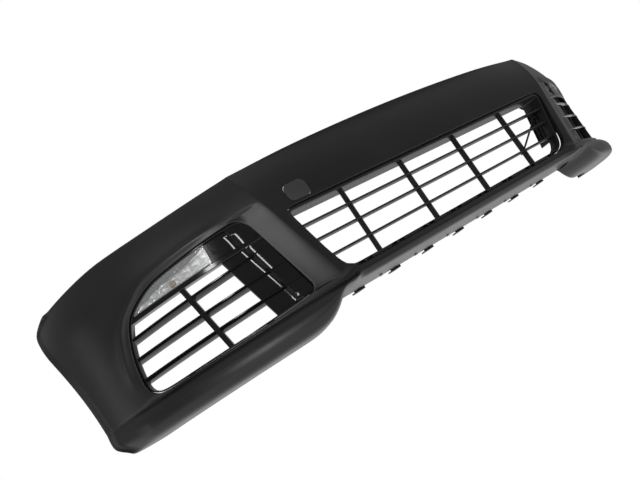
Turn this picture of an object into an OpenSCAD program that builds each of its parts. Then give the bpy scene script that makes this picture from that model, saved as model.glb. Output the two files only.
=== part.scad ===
// Front bumper cover: a thin moulded skin with three lower openings, their grilles,
// two indicator lamps, a lower valance, a tow-eye cover and the screws that hold them.
// Frame: +Z up, +X to the car's left, the front faces -Y, and Z = 0 is the sole that the
// part stands on. Everything is mirrored about X = 0, apart from the tow-eye cover.
// The modules draw with Y = 0 at the face of the middle opening; the last lines move the
// whole part forward so that the origin is the middle of its footprint.

/* [Skin] */
// Wall thickness of the moulded skin
skin_wall = 3; // [2.5:0.1:4]
// Height of the top edge at the middle
top_z = 388; // [380:1:396]
// How far the top edge falls from the middle to each kink
top_crown = 17; // [8:1:24]
// How far it falls on from the kink to the wing's rear corner
top_fall = 20; // [10:1:30]
// Depth of the flange that runs back from the top edge
top_flange = 28; // [18:1:35]
// How far the top edge is rounded back from the widest section
top_setback = 30; // [20:1:36]
// Depth of the return wall around each opening
return_depth = 14; // [10:1:18]

/* [Plan] */
// Bow of the middle section in plan, in mm at 1 m from the middle
bow = 30; // [20:1:60]
// Half width at the rear corner of the wing
half_width = 899; // [885:1:905]
// How far back the wing's rear corner lies
wing_depth = 424; // [400:1:440]

/* [Lip] */
// How far the side lip stands out from the wall above it
lip_out = 18; // [10:1:22]
// Height of the side lip's ridge
lip_ridge_z = 41; // [36:1:46]
// Distance from the middle to the inner end of each side lip
lip_end_x = 412; // [404:1:418]
// Depth of the sole that runs back under the lip
sole_depth = 85; // [70:1:95]

/* [Centre opening] */
// Height of its top edge
mid_top = 247; // [243:1:250]
// Height of its bottom edge
mid_bottom = 74; // [72:1:77]
// Half width at the top edge
mid_half_top = 446; // [440:1:448]
// Half width at the bottom edge
mid_half_bottom = 396; // [392:1:398]

/* [Side opening] */
// Height of its top edge at the inner end
side_top = 278; // [273:1:281]
// Height of its bottom edge
side_bottom = 67; // [64:1:70]

/* [Hidden] */
$fn = 48;

// ---- general functions ----
function clamp01(v) = min(1, max(0, v));
function smooth(a, b, v) = let (t = clamp01((v - a) / (b - a))) t * t * (3 - 2 * t);
function mix(a, b, t) = a + (b - a) * t;
function unit(v) = v / norm(v);
function bezier(p, t) = let (s = 1 - t)
    s * s * s * p[0] + 3 * s * s * t * p[1] + 3 * s * t * t * p[2] + t * t * t * p[3];
function bezier_slope(p, t) = let (s = 1 - t)
    3 * s * s * (p[1] - p[0]) + 6 * s * t * (p[2] - p[1]) + 3 * t * t * (p[3] - p[2]);
// The parameter at which one coordinate of a rising curve reaches a value
function bezier_at(p, axis, value, low = 0, high = 1, step = 0) = let (m = (low + high) / 2)
    step == 18 ? m
    : bezier(p, m)[axis] < value ? bezier_at(p, axis, value, m, high, step + 1)
    : bezier_at(p, axis, value, low, m, step + 1);

// ---- plan: a nearly flat middle, a ridge line, then a curve back to the wheel arch ----
ridge_foot = [420, 87];          // x and z of the ridge line's foot
ridge_lean = 0.29;              // how far the ridge line leans out, per mm of height
ridge_tilt = 0.085;              // how far it leans back, per mm of height
ridge_level = 265;               // height at which it meets the bow of the middle
shoulder = [640, 80];            // control points of the curve outboard of the ridge
corner = [890, 190];
function crown(x) = bow * x * x / 1e6;
function ridge_x(z) = ridge_foot[0] + (z - ridge_foot[1]) * ridge_lean;
function ridge_back(z) = ridge_tilt * (min(z, top_z) - ridge_level);
function wing(z) = let (x = ridge_x(z), back = ridge_back(z))
    [[x, crown(x) + back], shoulder + [0, back], corner + [0, back / 2], [half_width, wing_depth]];
// y of the middle's face, which leans with the ridge as it nears it
function face_y(x, z) = crown(x) + ridge_back(z) * smooth(mid_half_bottom - 60, ridge_x(z), x);

// ---- outlines of the openings, in x and z ----
mid_radii = [20, 36];            // top, bottom
side_radii = [30, 46, 26, 12];   // inner top, outer top, outer bottom, inner bottom
function mid_edge_x(z) = mix(mid_half_bottom, mid_half_top, (z - mid_bottom) / (mid_top - mid_bottom));
function side_inner_x(z) = 471 + 0.252 * (z - 86);
function side_outer_x(z) = 803 - 40 * pow((z - 97) / 150, 2);
function side_top_z(x) = side_top - 0.05 * (x - 555) - 0.0003 * pow(x - 555, 2);
function side_bottom_z(x) = side_bottom + 0.00028 * pow(max(0, 655 - x), 2);

// ---- edge lines ----
kink_x = 500;                    // where the top edge turns from the middle to the wing
function top_edge_z(x) = top_z - top_crown * pow(min(x, kink_x) / kink_x, 2)
    - top_fall * (0.35 * smooth(kink_x - 20, 720, x) + 0.65 * pow(clamp01((x - 780) / 110), 2));
function arch_y(z) = z > 332 ? 416 - 3.7 * (z - 332)
    : z > 51 ? 323 + 93 * pow((z - 51) / 281, 2)
    : 323 - 38 * pow(clamp01((33 - z) / 24), 2);

// ---- sections of the lip: [stand-out from the plan curve, height], top to bottom ----
lip_side = [[-4, 63], [3, 59], [lip_out - 8, 52], [lip_out, lip_ridge_z], [lip_out + 2, 26],
    [lip_out - 1, 12], [9, 5], [-4, 1.5], [-25, 0], [-sole_depth, 0]];
lip_middle = [[0, 71], [2, 68], [4, 65], [5, 61], [3, 56], [0, 51], [-6, 48], [-25, 46], [-60, 42],
    [-sole_depth, 40]];
// How much of the rise at the lip's inner end each row takes
lip_rise = [0, 0, 0.1, 0.25, 0.55, 0.9, 1, 1, 1, 1];

// ---- the skin's grid: rows run down the wall, columns run out from the middle ----
band_rows = [6, 16];             // below the top edge
bead_rows = [26, 17, 9, 0];      // above the openings' top line
opening_rows = [0.06, 0.13, 0.22, 0.35, 0.5, 0.65, 0.78, 0.87, 0.94, 1];
band_steps = 3;
row_top = 1;
row_first_bead = row_top + len(band_rows) + band_steps + 1;
row_open = row_first_bead + len(bead_rows) - 1;
row_close = row_open + len(opening_rows);
row_last = row_close + len(lip_side);

mid_steps = 6;
col_mid = mid_steps + 3;         // side edge of the middle opening
col_ridge = col_mid + 2;
col_inner = col_ridge + 3;       // inner edge of a side opening
side_columns = [0.03, 0.07, 0.14, 0.24, 0.36, 0.48, 0.6, 0.72, 0.82, 0.9, 0.96, 1];
col_outer = col_inner + len(side_columns);
bead_columns = [9, 17, 26];
wing_steps = 6;
col_flare = col_outer + len(bead_columns) + wing_steps;
col_arch = col_flare + 1;
col_last = col_arch + 1;

flare_run = 17;                  // width and stand-out of the flared band at the wheel arch
flare_out = 6;
arch_flange = 20;
bead_height = 6;
bead_from = 16;
bead_spread = 9;
pillar_recess = 8;

// Fraction of the way across a side opening
function side_fraction(c) = c <= col_inner ? 0 : c >= col_outer ? 1 : side_columns[c - col_inner - 1];
function column_top(c) = c <= col_mid ? mid_top
    : c < col_inner ? mix(mid_top, side_top_z(519), (c - col_mid) / (col_inner - col_mid))
    : side_top_z(mix(519, 760, side_fraction(c)));
function column_bottom(c) = c <= col_mid ? mid_bottom
    : c < col_inner ? mix(mid_bottom, side_bottom_z(470), (c - col_mid) / (col_inner - col_mid))
    : side_bottom_z(mix(470, 796, side_fraction(c)));

// Where a column crosses height z: x inboard of a side opening's outer edge, the curve's parameter beyond
function column_x(c, z) =
    c <= mid_steps ? c / mid_steps * (mid_edge_x(z) - mid_radii[1])
    : c <= col_mid ? mid_edge_x(z) - mid_radii[1] * (col_mid - c) / 3
    : c <= col_ridge ? mix(mid_edge_x(z), ridge_x(z), (c - col_mid) / (col_ridge - col_mid))
    : c <= col_inner ? mix(ridge_x(z), side_inner_x(z), (c - col_ridge) / (col_inner - col_ridge))
    : mix(side_inner_x(z), side_outer_x(min(z, 256)), side_fraction(c));
function wing_t(c, z, zp) = let (
        t_out = bezier_at(wing(zp), 0, side_outer_x(min(zp, 256))),
        t_arch = bezier_at(wing(zp), 1, arch_y(z)),
        t_flare = t_arch - flare_run / norm(bezier_slope(wing(zp), t_arch)),
        t_bead = t_out + bead_columns[2] / norm(bezier_slope(wing(zp), t_out))
    )
    c <= col_outer + 3 ? t_out + (t_bead - t_out) * bead_columns[c - col_outer - 1] / bead_columns[2]
    : c <= col_flare ? mix(t_bead, t_flare, (c - col_outer - 3) / wing_steps)
    : t_arch;

// Distance outside a side opening's outline, with its outer top corner rounded
function outside_side(x, z) = let (
        r = side_radii[1],
        q = [max(0, x - side_outer_x(min(max(z, 97), 256)) + r), max(0, z - side_top_z(min(x, 770)) + r)]
    ) norm(q) - r;
function bead(x, z) = z < 90 ? 0
    : bead_height * exp(-pow((outside_side(x, z) - bead_from) / bead_spread, 2))
        * smooth(90, 160, z) * smooth(480, 550, x);
function pillar(x, z) = -pillar_recess * smooth(0, 1, (x - ridge_x(z)) / (side_inner_x(z) - ridge_x(z)))
    * smooth(285, 271, z) * smooth(556, 512, x);
function setback(z) = -top_setback * pow(clamp01((z - 254) / 120), 2);

// Height and stand-out of a row at a column, before the corners are rounded
function lip_end_rise(x) = let (r = 110) x < lip_end_x ? r * 0.45 : x > lip_end_x + r ? 0
    : min(r * 0.45, r - sqrt(r * r - pow(r - (x - lip_end_x), 2)));
function lip_point(k, x, end) = let (
        side = smooth(lip_end_x - 30, lip_end_x - 4, x),
        fade = mix(1, 0.1, end),
        s = lip_side[k],
        m = lip_middle[k],
        sd = s[0] > 0 || k == 0 ? s[0] * fade : s[0]
    ) [mix(m[0], sd, side), mix(m[1], min(s[1] + lip_rise[k] * lip_end_rise(x), max(m[1], s[1])), side)];

// ---- nodes of the grid ----
// Corners: [column, row, way in along x, way in down the rows, radius, columns that follow, rows that follow]
corners = [
    [col_mid, row_open, -1, 1, mid_radii[0], [1, 0.5], [1, 0.6, 0.25]],
    [col_mid, row_close, -1, -1, mid_radii[1], [1, 0.5], [1]],
    [col_inner, row_open, 1, 1, side_radii[0], [1, 0.5], [1, 0.6, 0.25]],
    [col_outer, row_open, -1, 1, side_radii[1], [1, 0.8, 0.6, 0.4, 0.2], [1, 0.8, 0.55, 0.3]],
    [col_outer, row_close, -1, -1, side_radii[2], [1, 0.8, 0.5, 0.2], [1]],
    [col_inner, row_close, 1, -1, side_radii[3], [1, 0.5], [1]],
];
function edge_x(c, z) = c == col_mid ? mid_edge_x(z) : c == col_inner ? side_inner_x(z) : side_outer_x(z);
function follow(list, n) = n < len(list) ? list[n] : 0;
function corner_shift(k, c, r, x, z) = let (
        in_c = k[2] * (c - k[0]),
        in_r = k[3] * (r - k[1]),
        line = k[3] > 0 ? column_top(k[0]) : column_bottom(k[0]),
        s_c = in_c > 0 ? abs(x - edge_x(k[0], z)) : 0,
        s_r = in_r > 0 ? abs(z - line) : 0,
        s = max(s_c, s_r),
        share = follow(k[5], max(0, -in_c)) * follow(k[6], max(0, -in_r)),
        turn = 45 * (1 - s / k[4]),
        along = k[4] * (1 - sin(turn)) - s,
        drop = k[4] * (1 - cos(turn))
    )
    (in_c > 0 && in_r > 0) || s >= k[4] || share == 0 ? [0, 0]
    : s_c >= s_r && s_c > 0 ? share * [k[2] * along, -k[3] * drop]
    : s_r > 0 ? share * [k[2] * drop, -k[3] * along]
    : share * [k[2] * drop, -k[3] * drop];
function total(list, i = 0) = i == len(list) ? [0, 0] : list[i] + total(list, i + 1);

function top_x(c) = c <= col_outer ? column_x(c, 340) : bezier(wing(340), wing_t(c, 340, 340))[0];
function row_z(c, r, edge) = let (top = column_top(c), bottom = column_bottom(c))
    r <= row_top ? edge
    : r <= row_top + len(band_rows) ? edge - band_rows[r - row_top - 1]
    : r < row_first_bead ? mix(edge - band_rows[1], top + bead_rows[0],
        (r - row_top - len(band_rows)) / (band_steps + 1))
    : r <= row_open ? top + bead_rows[r - row_first_bead]
    : mix(top, bottom, opening_rows[r - row_open - 1]);

// The flange's inner edge at a row of the arch: its stand-out and its height
function flange_edge(r, out, z) = r == 0 ? [out, z - arch_flange]
    : r == row_top ? [out - 0.7 * arch_flange, z - 0.7 * arch_flange]
    : r <= row_close ? [out - arch_flange, z]
    : [min(out, 0.1 * out - 18.2), max(z, 18 + 0.12 * z)];
// [point, outward normal in plan] on the plan curve
function plan_point(c, x, z, t) = let (
        mid_n = unit([face_y(x + 1, z) - face_y(x, z), -1]),
        w = wing(z),
        slope = bezier_slope(w, t),
        wing_n = unit([slope[1], -slope[0]])
    )
    c < col_ridge ? [[x, face_y(x, z)], mid_n]
    : c == col_ridge ? [w[0], unit(mid_n + wing_n)]
    : [bezier(w, t), wing_n];
function skin_node(c, r) = let (
        lower = r > row_close,
        z0 = row_z(c, min(r, row_close), top_edge_z(top_x(c))),
        x0 = column_x(min(c, col_outer), max(z0, ridge_foot[1])),
        shift = total([for (k = corners) corner_shift(k, c, min(r, row_close), x0, z0)]) * (lower ? 0 : 1),
        z1 = z0 + shift[1],
        zp = lower ? ridge_foot[1] : max(z1, ridge_foot[1]),
        end = clamp01((c - col_outer - 3) / wing_steps),
        lip = lip_point(max(0, r - row_close - 1), column_x(min(c, col_outer), ridge_foot[1]), end),
        z = lower ? lip[1] : z1,
        x = column_x(min(c, col_outer), zp) + shift[0],
        t = c <= col_ridge ? 0
            : c <= col_outer ? bezier_at(wing(zp), 0, x)
            : wing_t(c, max(z, 8), zp) + shift[0] / bezier_slope(wing(zp), 0.6)[0],
        p = plan_point(c, x, zp, t),
        wall = lower ? lip[0] : setback(z) + bead(p[0][0], z) + (c > col_ridge ? pillar(p[0][0], z) : 0),
        edge = c == col_last ? flange_edge(r, wall, z) : [wall, z],
        d = edge[0] + (c >= col_arch ? flare_out : 0) - (r == 0 ? top_flange : 0)
    ) [p[0][0] + p[1][0] * d, p[0][1] + p[1][1] * d, edge[1]];

half = [for (c = [0:col_last]) [for (r = [0:row_last]) skin_node(c, r)]];
columns = 2 * col_last + 1;
rows = row_last + 1;
grid = [for (i = [-col_last:col_last]) [for (p = half[abs(i)]) [i < 0 ? -p[0] : p[0], p[1], p[2]]]];

// Columns and rows that each opening spans, and the way its return wall runs
side_tilt = 30;
openings = [
    [col_last - col_mid, col_last + col_mid, [0, 1, 0]],
    [col_last + col_inner, col_last + col_outer, [-sin(side_tilt), cos(side_tilt), 0]],
    [col_last - col_outer, col_last - col_inner, [sin(side_tilt), cos(side_tilt), 0]],
];
function is_open(i, r) = r >= row_open && r < row_close
    && len([for (o = openings) if (i >= o[0] && i < o[1]) 1]) > 0;
// The grid's nodes around an opening, clockwise as seen from the front
function loop_nodes(o) = concat(
    [for (i = [o[0]:o[1] - 1]) [i, row_open]],
    [for (r = [row_open:row_close - 1]) [o[1], r]],
    [for (i = [o[1]:-1:o[0] + 1]) [i, row_close]],
    [for (r = [row_close:-1:row_open + 1]) [o[0], r]]);
function at(n) = grid[n[0]][n[1]];
function loop_away(o, loop, k) = let (
        n = len(loop),
        tangent = at(loop[(k + 1) % n]) - at(loop[(k + n - 1) % n])
    ) unit(cross(tangent, o[2]));
loops = [for (o = openings) loop_nodes(o)];
away = [for (k = [0:2]) [for (j = [0:len(loops[k]) - 1]) loop_away(openings[k], loops[k], j)]];

function normal(i, r) = unit(cross(
    grid[i][min(r + 1, rows - 1)] - grid[i][max(r - 1, 0)],
    grid[min(i + 1, columns - 1)][r] - grid[max(i - 1, 0)][r]));
function loop_shift(i, r) = first_of([for (k = [0:2]) for (j = [0:len(loops[k]) - 1])
    if (loops[k][j] == [i, r]) away[k][j]]);
function first_of(list) = len(list) == 0 ? [0, 0, 0] : list[0];
function on_loop(i, r) = r >= row_open && r <= row_close;
inner_grid = [for (i = [0:columns - 1]) [for (r = [0:rows - 1])
    grid[i][r] - skin_wall * normal(i, r) + (on_loop(i, r) ? skin_wall * loop_shift(i, r) : [0, 0, 0])]];

// ---- holes in the skin and what they take ----
top_holes = [for (k = [-2:2]) 100 * k];
top_hole_y = 44;                 // middle of the top flange
top_hole_r = 4;
arch_hole_rows = [row_open + 3, row_open + 6];
arch_hole_r = 4;
valance_screw_x = [for (k = [-5:2:5]) 56.5 * k];
valance_screw_y = 73;
valance_screw_z = 40.3;          // seat of the screws' heads, just under the skin
screw_r = 2;
screw_play = 0.06;               // radial room around a screw
tow_at = [-390, 274.5];          // middle of the tow-eye cover, x and z
tow_size = [58, 40];
tow_round = 14;
tow_gap = 0.5;
tow_front = face_y(tow_at[0], tow_at[1]) - setback(tow_at[1]);

// Middle of the arch flange at a row, and the flange's normal there
function arch_hole_at(r) = (half[col_arch][r] + half[col_last][r]) / 2;
function arch_hole_axis(r) = unit(cross(half[col_last][r] - half[col_arch][r],
    half[col_arch][r + 1] - half[col_arch][r - 1]));
module arch_hole(r) {
    a = arch_hole_axis(r);
    translate(arch_hole_at(r)) rotate([0, acos(a[2]), atan2(a[1], a[0])]) children();
}
// A prism along Y over an outline in x and z
module prism(outline, front, back) {
    translate([0, back, 0]) rotate([90, 0, 0]) linear_extrude(back - front) polygon(outline);
}
module bar(x0, x1, y0, y1, z0, z1) { translate([x0, y0, z0]) cube([x1 - x0, y1 - y0, z1 - z0]); }
// A block along Y with rounded corners, its front face at depth front
module rounded_block(size, round, front, back) {
    translate([0, back, 0]) rotate([90, 0, 0]) linear_extrude(back - front) union() {
        square([size[0], size[1] - 2 * round], center = true);
        square([size[0] - 2 * round, size[1]], center = true);
        for (x = [-1, 1]) for (z = [-1, 1])
            translate([x * (size[0] / 2 - round), z * (size[1] / 2 - round)]) circle(r = round);
    }
}
tow_tilt = atan((setback(tow_at[1] - 20) - setback(tow_at[1] + 20)) / 40);
module tow_place() { translate([tow_at[0], tow_front, tow_at[1]]) rotate([-tow_tilt, 0, 0]) children(); }

module bumper_skin() {
    count = columns * rows;
    starts = [0, len(loops[0]), len(loops[0]) + len(loops[1])];
    rim = len(loops[0]) + len(loops[1]) + len(loops[2]);
    points = concat(
        [for (column = grid) each column],
        [for (column = inner_grid) each column],
        [for (k = [0:2]) for (j = [0:len(loops[k]) - 1]) at(loops[k][j]) + return_depth * openings[k][2]],
        [for (k = [0:2]) for (j = [0:len(loops[k]) - 1])
            at(loops[k][j]) + return_depth * openings[k][2] + skin_wall * away[k][j]]);
    cells = [for (i = [0:columns - 2]) for (r = [0:rows - 2]) if (!is_open(i, r)) [i, r]];
    function id(i, r) = i * rows + r;
    wall_faces = [for (f = cells) each [
        [id(f[0], f[1]), id(f[0] + 1, f[1]), id(f[0] + 1, f[1] + 1)],
        [id(f[0], f[1]), id(f[0] + 1, f[1] + 1), id(f[0], f[1] + 1)]]];
    back_faces = [for (f = wall_faces) [f[0] + count, f[2] + count, f[1] + count]];
    function strip(a, b, c, d) = [[a, b, c], [a, c, d]];
    edge_faces = concat(
        [for (i = [0:columns - 2]) each strip(id(i, 0), id(i, 0) + count,
            id(i + 1, 0) + count, id(i + 1, 0))],
        [for (i = [0:columns - 2]) each strip(id(i + 1, rows - 1), id(i + 1, rows - 1) + count,
            id(i, rows - 1) + count, id(i, rows - 1))],
        [for (r = [0:rows - 2]) each strip(id(0, r + 1), id(0, r + 1) + count, id(0, r) + count, id(0, r))],
        [for (r = [0:rows - 2]) each strip(id(columns - 1, r), id(columns - 1, r) + count,
            id(columns - 1, r + 1) + count, id(columns - 1, r + 1))]);
    rim_faces = [for (k = [0:2]) for (j = [0:len(loops[k]) - 1]) let (
            m = (j + 1) % len(loops[k]),
            a = id(loops[k][j][0], loops[k][j][1]),
            b = id(loops[k][m][0], loops[k][m][1]),
            c = 2 * count + starts[k] + j,
            d = 2 * count + starts[k] + m
        ) each concat(
            strip(a, b, d, c),
            strip(c, d, d + rim, c + rim),
            strip(c + rim, d + rim, b + count, a + count))];
    color("#26272a") difference() {
        polyhedron(points, concat(wall_faces, back_faces, edge_faces, rim_faces), convexity = 12);
        for (x = top_holes) translate([x, top_hole_y, top_z - 20]) cylinder(r = top_hole_r, h = 30);
        for (side = [0, 1]) for (r = arch_hole_rows) mirror([side, 0, 0])
            arch_hole(r) cylinder(r = arch_hole_r, h = 30, center = true);
        for (x = valance_screw_x) translate([x, valance_screw_y, 30])
            cylinder(r = screw_r + screw_play, h = 25);
        tow_place() rounded_block(tow_size + [1, 1] * 2 * tow_gap, tow_round + tow_gap, -30, 30);
    }
}

// ---- middle grille ----
grille_front = 8;
grille_back = 36;
frame_inset = [1, 8];            // the frame's outer and inner faces, in from the opening's outline
shroud_inset = [4, 6.5];         // the same for the shroud behind it
shroud_back = 68;
slat_heights = [202, 163.5, 122];
slat_half = 2.3;
slat_front = 12;
fin_places = [-282, -94, 94, 282];
fin_half = 2;
fin_front = 19;
bars_reach = 440;                // long enough to end inside the frame
window_half = 8;                 // small windows through the frame's lower rail
rail_windows = [for (k = [-7:2:7]) for (side = [-1, 1]) 48.75 * k + 11.5 * side];
function loop_outline(k, inset) = [for (j = [0:len(loops[k]) - 1])
    let (p = at(loops[k][j]) - inset * away[k][j]) [p[0], p[2]]];
hook_places = [-376, -188, 0, 188, 376];   // snap hooks behind the skin's return wall
hook_half = 8;
hook_depth = [19, 23];
hook_catch = 2.5;                // how far a hook reaches past the opening's edge
module mid_prism(inset, front, back) { prism(loop_outline(0, inset), front, back); }

module hook(x, low, high) { bar(x - hook_half, x + hook_half, hook_depth[0], hook_depth[1], low, high); }
module centre_grille() {
    color("#1b1c1e") difference() {
        union() {
            difference() {
                mid_prism(frame_inset[0], grille_front, grille_back);
                mid_prism(frame_inset[1], grille_front - 1, grille_back + 1);
            }
            difference() {
                mid_prism(shroud_inset[0], grille_back - 1, shroud_back);
                mid_prism(shroud_inset[1], grille_back - 2, shroud_back + 1);
                bar(-bars_reach, bars_reach, 0, shroud_back + 2, 60, 110);
            }
            intersection() {
                mid_prism(5, grille_front, grille_back + 1);
                union() {
                    for (z = slat_heights)
                        bar(-bars_reach, bars_reach, slat_front, grille_back, z - slat_half, z + slat_half);
                    for (x = fin_places) bar(x - fin_half, x + fin_half, fin_front, grille_back, 70, 250);
                }
            }
        }
        for (x = rail_windows) bar(x - window_half, x + window_half, 0, grille_back + 2,
            mid_bottom + 2.3, mid_bottom + 6.2);
    }
    color("#1b1c1e") for (x = hook_places) {
        hook(x, mid_top - 3, mid_top + hook_catch);
        hook(x * 0.85, mid_bottom - hook_catch, mid_bottom + 3);
    }
}

// ---- a thin forked stay behind the last bay of the middle grille ----
stay_y = 39;
stay_foot = [287, 119];          // x and z
stay_fork = [385, 176];
stay_tips = [[446, 218], [446, 197]];
stay_thick = 5;
module strip(a, b) {
    d = b - a;
    translate(a) rotate(atan2(d[1], d[0])) translate([0, -stay_thick / 2]) square([norm(d), stay_thick]);
}
module grille_stay() {
    color("#17181a") translate([0, stay_y + stay_thick / 2, 0]) rotate([90, 0, 0]) linear_extrude(stay_thick)
        intersection() {
            union() {
                strip(stay_foot, stay_fork);
                for (tip = stay_tips) strip(stay_fork, tip);
                translate(stay_fork) square(5, center = true);
            }
            polygon(loop_outline(0, 6.55));
        }
    color("#17181a") bar(stay_foot[0] - 5, stay_foot[0] + 5, grille_back, stay_y + 2,
        slat_heights[2] - slat_half - 2, slat_heights[2] + slat_half);
}

// ---- lower valance: the strip under the middle section, with the undertray's tabs ----
valance_half = 385;
valance_thick = 2.5;
valance_low = 45.2;              // it lies on the inner side of the skin's trailing edge
valance_front = 64;
valance_holes = [for (k = [-3:3]) 113 * k];
valance_hole_y = 100;
valance_hole_r = 3.5;
tab_low = 35.5;                  // the tabs step down behind the skin's trailing edge
tab_front = sole_depth + 4;      // clear of that edge, which bows back away from the middle
tab_back = tab_front + valance_thick;
tab_half = 15;
module lower_valance() {
    valance_high = valance_low + valance_thick;
    color("#202124") difference() {
        union() {
            bar(-valance_half, valance_half, valance_front, tab_back, valance_low, valance_high);
            bar(-valance_half, valance_half, valance_front, valance_front + 2.5,
                valance_low, valance_high + 7);
            for (x = valance_holes) {
                bar(x - tab_half, x + tab_half, tab_front, tab_back, tab_low, valance_high);
                bar(x - tab_half, x + tab_half, tab_front, valance_hole_y, tab_low, tab_low + valance_thick);
                translate([x, valance_hole_y, tab_low]) cylinder(r = tab_half - 0.5, h = valance_thick);
            }
        }
        for (x = valance_holes) translate([x, valance_hole_y, 20]) cylinder(r = valance_hole_r, h = 40);
        for (x = valance_screw_x) translate([x, valance_screw_y, 20])
            cylinder(r = screw_r + screw_play, h = 40);
    }
}
// A pan-head screw pointing up, its head's seat at the origin
module screw(length) {
    cylinder(r = screw_r, h = length);
    translate([0, 0, -2.2]) difference() {
        cylinder(r = 4.2, h = 2.2);
        for (a = [0, 90]) rotate(a) cube([5, 1, 2.4], center = true);
    }
}
module valance_screws() {
    color("#55585c") for (x = valance_screw_x)
        translate([x, valance_screw_y, valance_screw_z]) screw(11);
}

// ---- side grilles and lamps, in a frame turned to face the side opening ----
face_centre = [615, 474];        // centre of the arc that the grille's face follows
face_r = 718;
grille_deep = 24;
turn_at = 615;                  // where the bars' heights are given, along the chord
top_bar = [222, 1.7];            // height at the middle, and slope in degrees
blades = [[190.5, 2.5], [149.5, 1.2], [108, 1]];
blade_thick = 3.2;
blade_fall = 9;                  // how far a blade falls from its front edge to its back
divider_half = 5.5;
function tilted(p) = [p[0] * cos(side_tilt) + p[1] * sin(side_tilt), p[2]];
function side_outline(inset) = [for (j = [0:len(loops[1]) - 1])
    tilted(at(loops[1][j]) - inset * away[1][j])];
module side_frame() { rotate([0, 0, side_tilt]) children(); }
module side_prism(inset) { prism(side_outline(inset), -300, -100); }
module arc(profile) {
    translate([face_centre[0], face_centre[1], 0]) rotate_extrude(angle = 36, start = -109, $fn = 96)
        polygon(profile);
}
module shell(front, back, low = 40, high = 300) {
    arc([[back, low], [front, low], [front, high], [back, high]]);
}
module sloped(place) {
    translate([turn_at, 0, place[0]]) rotate([0, place[1], 0]) translate([-turn_at, 0, 0]) children();
}
blade_front = face_r - 1.1;      // each bar's faces lie a little inside the frame's
blade_back = face_r - grille_deep + 1.2;
module blade() {
    high = (blade_fall + blade_thick) / 2;
    arc([[blade_front, high - blade_thick], [blade_front, high],
        [blade_back, blade_thick - high], [blade_back, -high]]);
}
head_half = 5;
module head_bar() {
    arc([[blade_front + 0.5, -head_half], [blade_front + 0.5, head_half],
        [blade_back - 0.5, head_half], [blade_back - 0.5, -head_half]]);
}
lamp_end = 561;                  // inner end of the lamp, along the chord
module above_bar(rise) {
    intersection() {
        sloped([top_bar[0] + rise, top_bar[1]]) bar(300, 900, -300, 0, 0, 200);
        bar(lamp_end, 900, -300, 0, 200, 300);
    }
}

// Snap hooks behind the skin's return wall: start and size along the chord, in depth and in height
side_hook_list = [
    [[484, -219, side_top - 4.5], [16, 4, 6.5]],
    [[580, -228, side_top - 8.5], [16, 4, 6]],
    [[520, -227, side_bottom - 2], [16, 4, 7]],
    [[700, -227, side_bottom - 2], [16, 4, 7]],
    [[792, -210, 100], [7, 4, 16]],
    [[427, -206, 148], [10, 4, 12]],
];
module side_hooks() { for (h = side_hook_list) translate(h[0]) cube(h[1]); }
lamp_screw = [548, 247];         // along the chord, and height
lug_front = -214;
module lamp_screw_place(depth) {
    translate([lamp_screw[0], depth, lamp_screw[1]]) rotate([90, 0, 0]) children();
}
// The hooks, the boss that takes the lamp's screw, the frame with its bars, and the inner panel
module side_grille() {
    color("#121315") side_frame() side_hooks();
    color("#121315") side_frame() difference() {
        lamp_screw_place(lug_front) cylinder(r = 4.5, h = 24);
        lamp_screw_place(lug_front + 1) cylinder(r = screw_r + screw_play, h = 16);
    }
    color("#121315") side_frame() intersection() {
        side_prism(1.2);
        union() {
            difference() {
                shell(face_r, face_r - grille_deep);
                side_prism(4.2);
            }
            for (b = blades) sloped(b) blade();
            sloped(top_bar) head_bar();
            difference() {
                shell(face_r - 2, face_r - grille_deep + 2.2);
                translate([turn_at + 12, 0, 140]) rotate([0, 10, 0]) union() {
                    bar(-400, -divider_half, -300, 0, -200, 200);
                    bar(divider_half, 400, -300, 0, -200, 200);
                }
                bar(0, 900, -300, 0, top_bar[0], 300);
            }
            difference() {
                shell(face_r - 4, face_r - 8);
                intersection() {
                    translate([529, 0, 147]) rotate([0, 15, 0]) bar(0, 600, -300, 0, -300, 300);
                    bar(300, 900, -300, 0, 0, top_bar[0]);
                }
                bar(lamp_end - 1, 900, -300, 0, top_bar[0] - 4, 300);
            }
        }
    }
}

lamp_axis = [656, 245];          // along the chord, and height
lamp_depth = 62;
boss_r = 14.5;
bore_r = 11;
lug_reach = 2.2;
lug_wide = 6;
holder_turn = 45;
rear = face_centre[1] - (face_r - lamp_depth);   // depth of the housing's rear face on the lamp's axis
module on_axis(depth) { translate([lamp_axis[0], depth, lamp_axis[1]]) rotate([90, 0, 0]) children(); }

module lamp_lens() {
    color("#e8ecef", 0.4) side_frame() intersection() {
        side_prism(4.6);
        shell(face_r - 2, face_r - 5);
        above_bar(5.4);
    }
}
module lamp_housing() {
    color("#2a2b2d") side_frame() difference() {
        union() {
            intersection() {
                side_prism(4.6);
                shell(face_r - 5.2, face_r - lamp_depth);
                above_bar(5.4);
            }
            on_axis(rear + 6) cylinder(r = boss_r, h = 10);
            bar(lamp_screw[0] - 7, lamp_end + 1, lug_front + 0.1, lug_front + 2.6,
                lamp_screw[1] - 7, lamp_screw[1] + 7);
        }
        lamp_screw_place(lug_front + 5) cylinder(r = screw_r + screw_play, h = 10);
        intersection() {
            side_prism(7);
            shell(face_r, face_r - lamp_depth + 2.5);
            above_bar(8);
            bar(lamp_end + 2.5, 900, -300, 100, 0, 300);
        }
        on_axis(rear + 7) cylinder(r = bore_r, h = 20);
        for (a = [0, 180]) on_axis(rear + 7) rotate([0, 0, a + holder_turn])
            translate([bore_r - 1, -lug_wide / 2 - 0.5, 0]) cube([lug_reach + 1.5, lug_wide + 1, 20]);
    }
}
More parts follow.
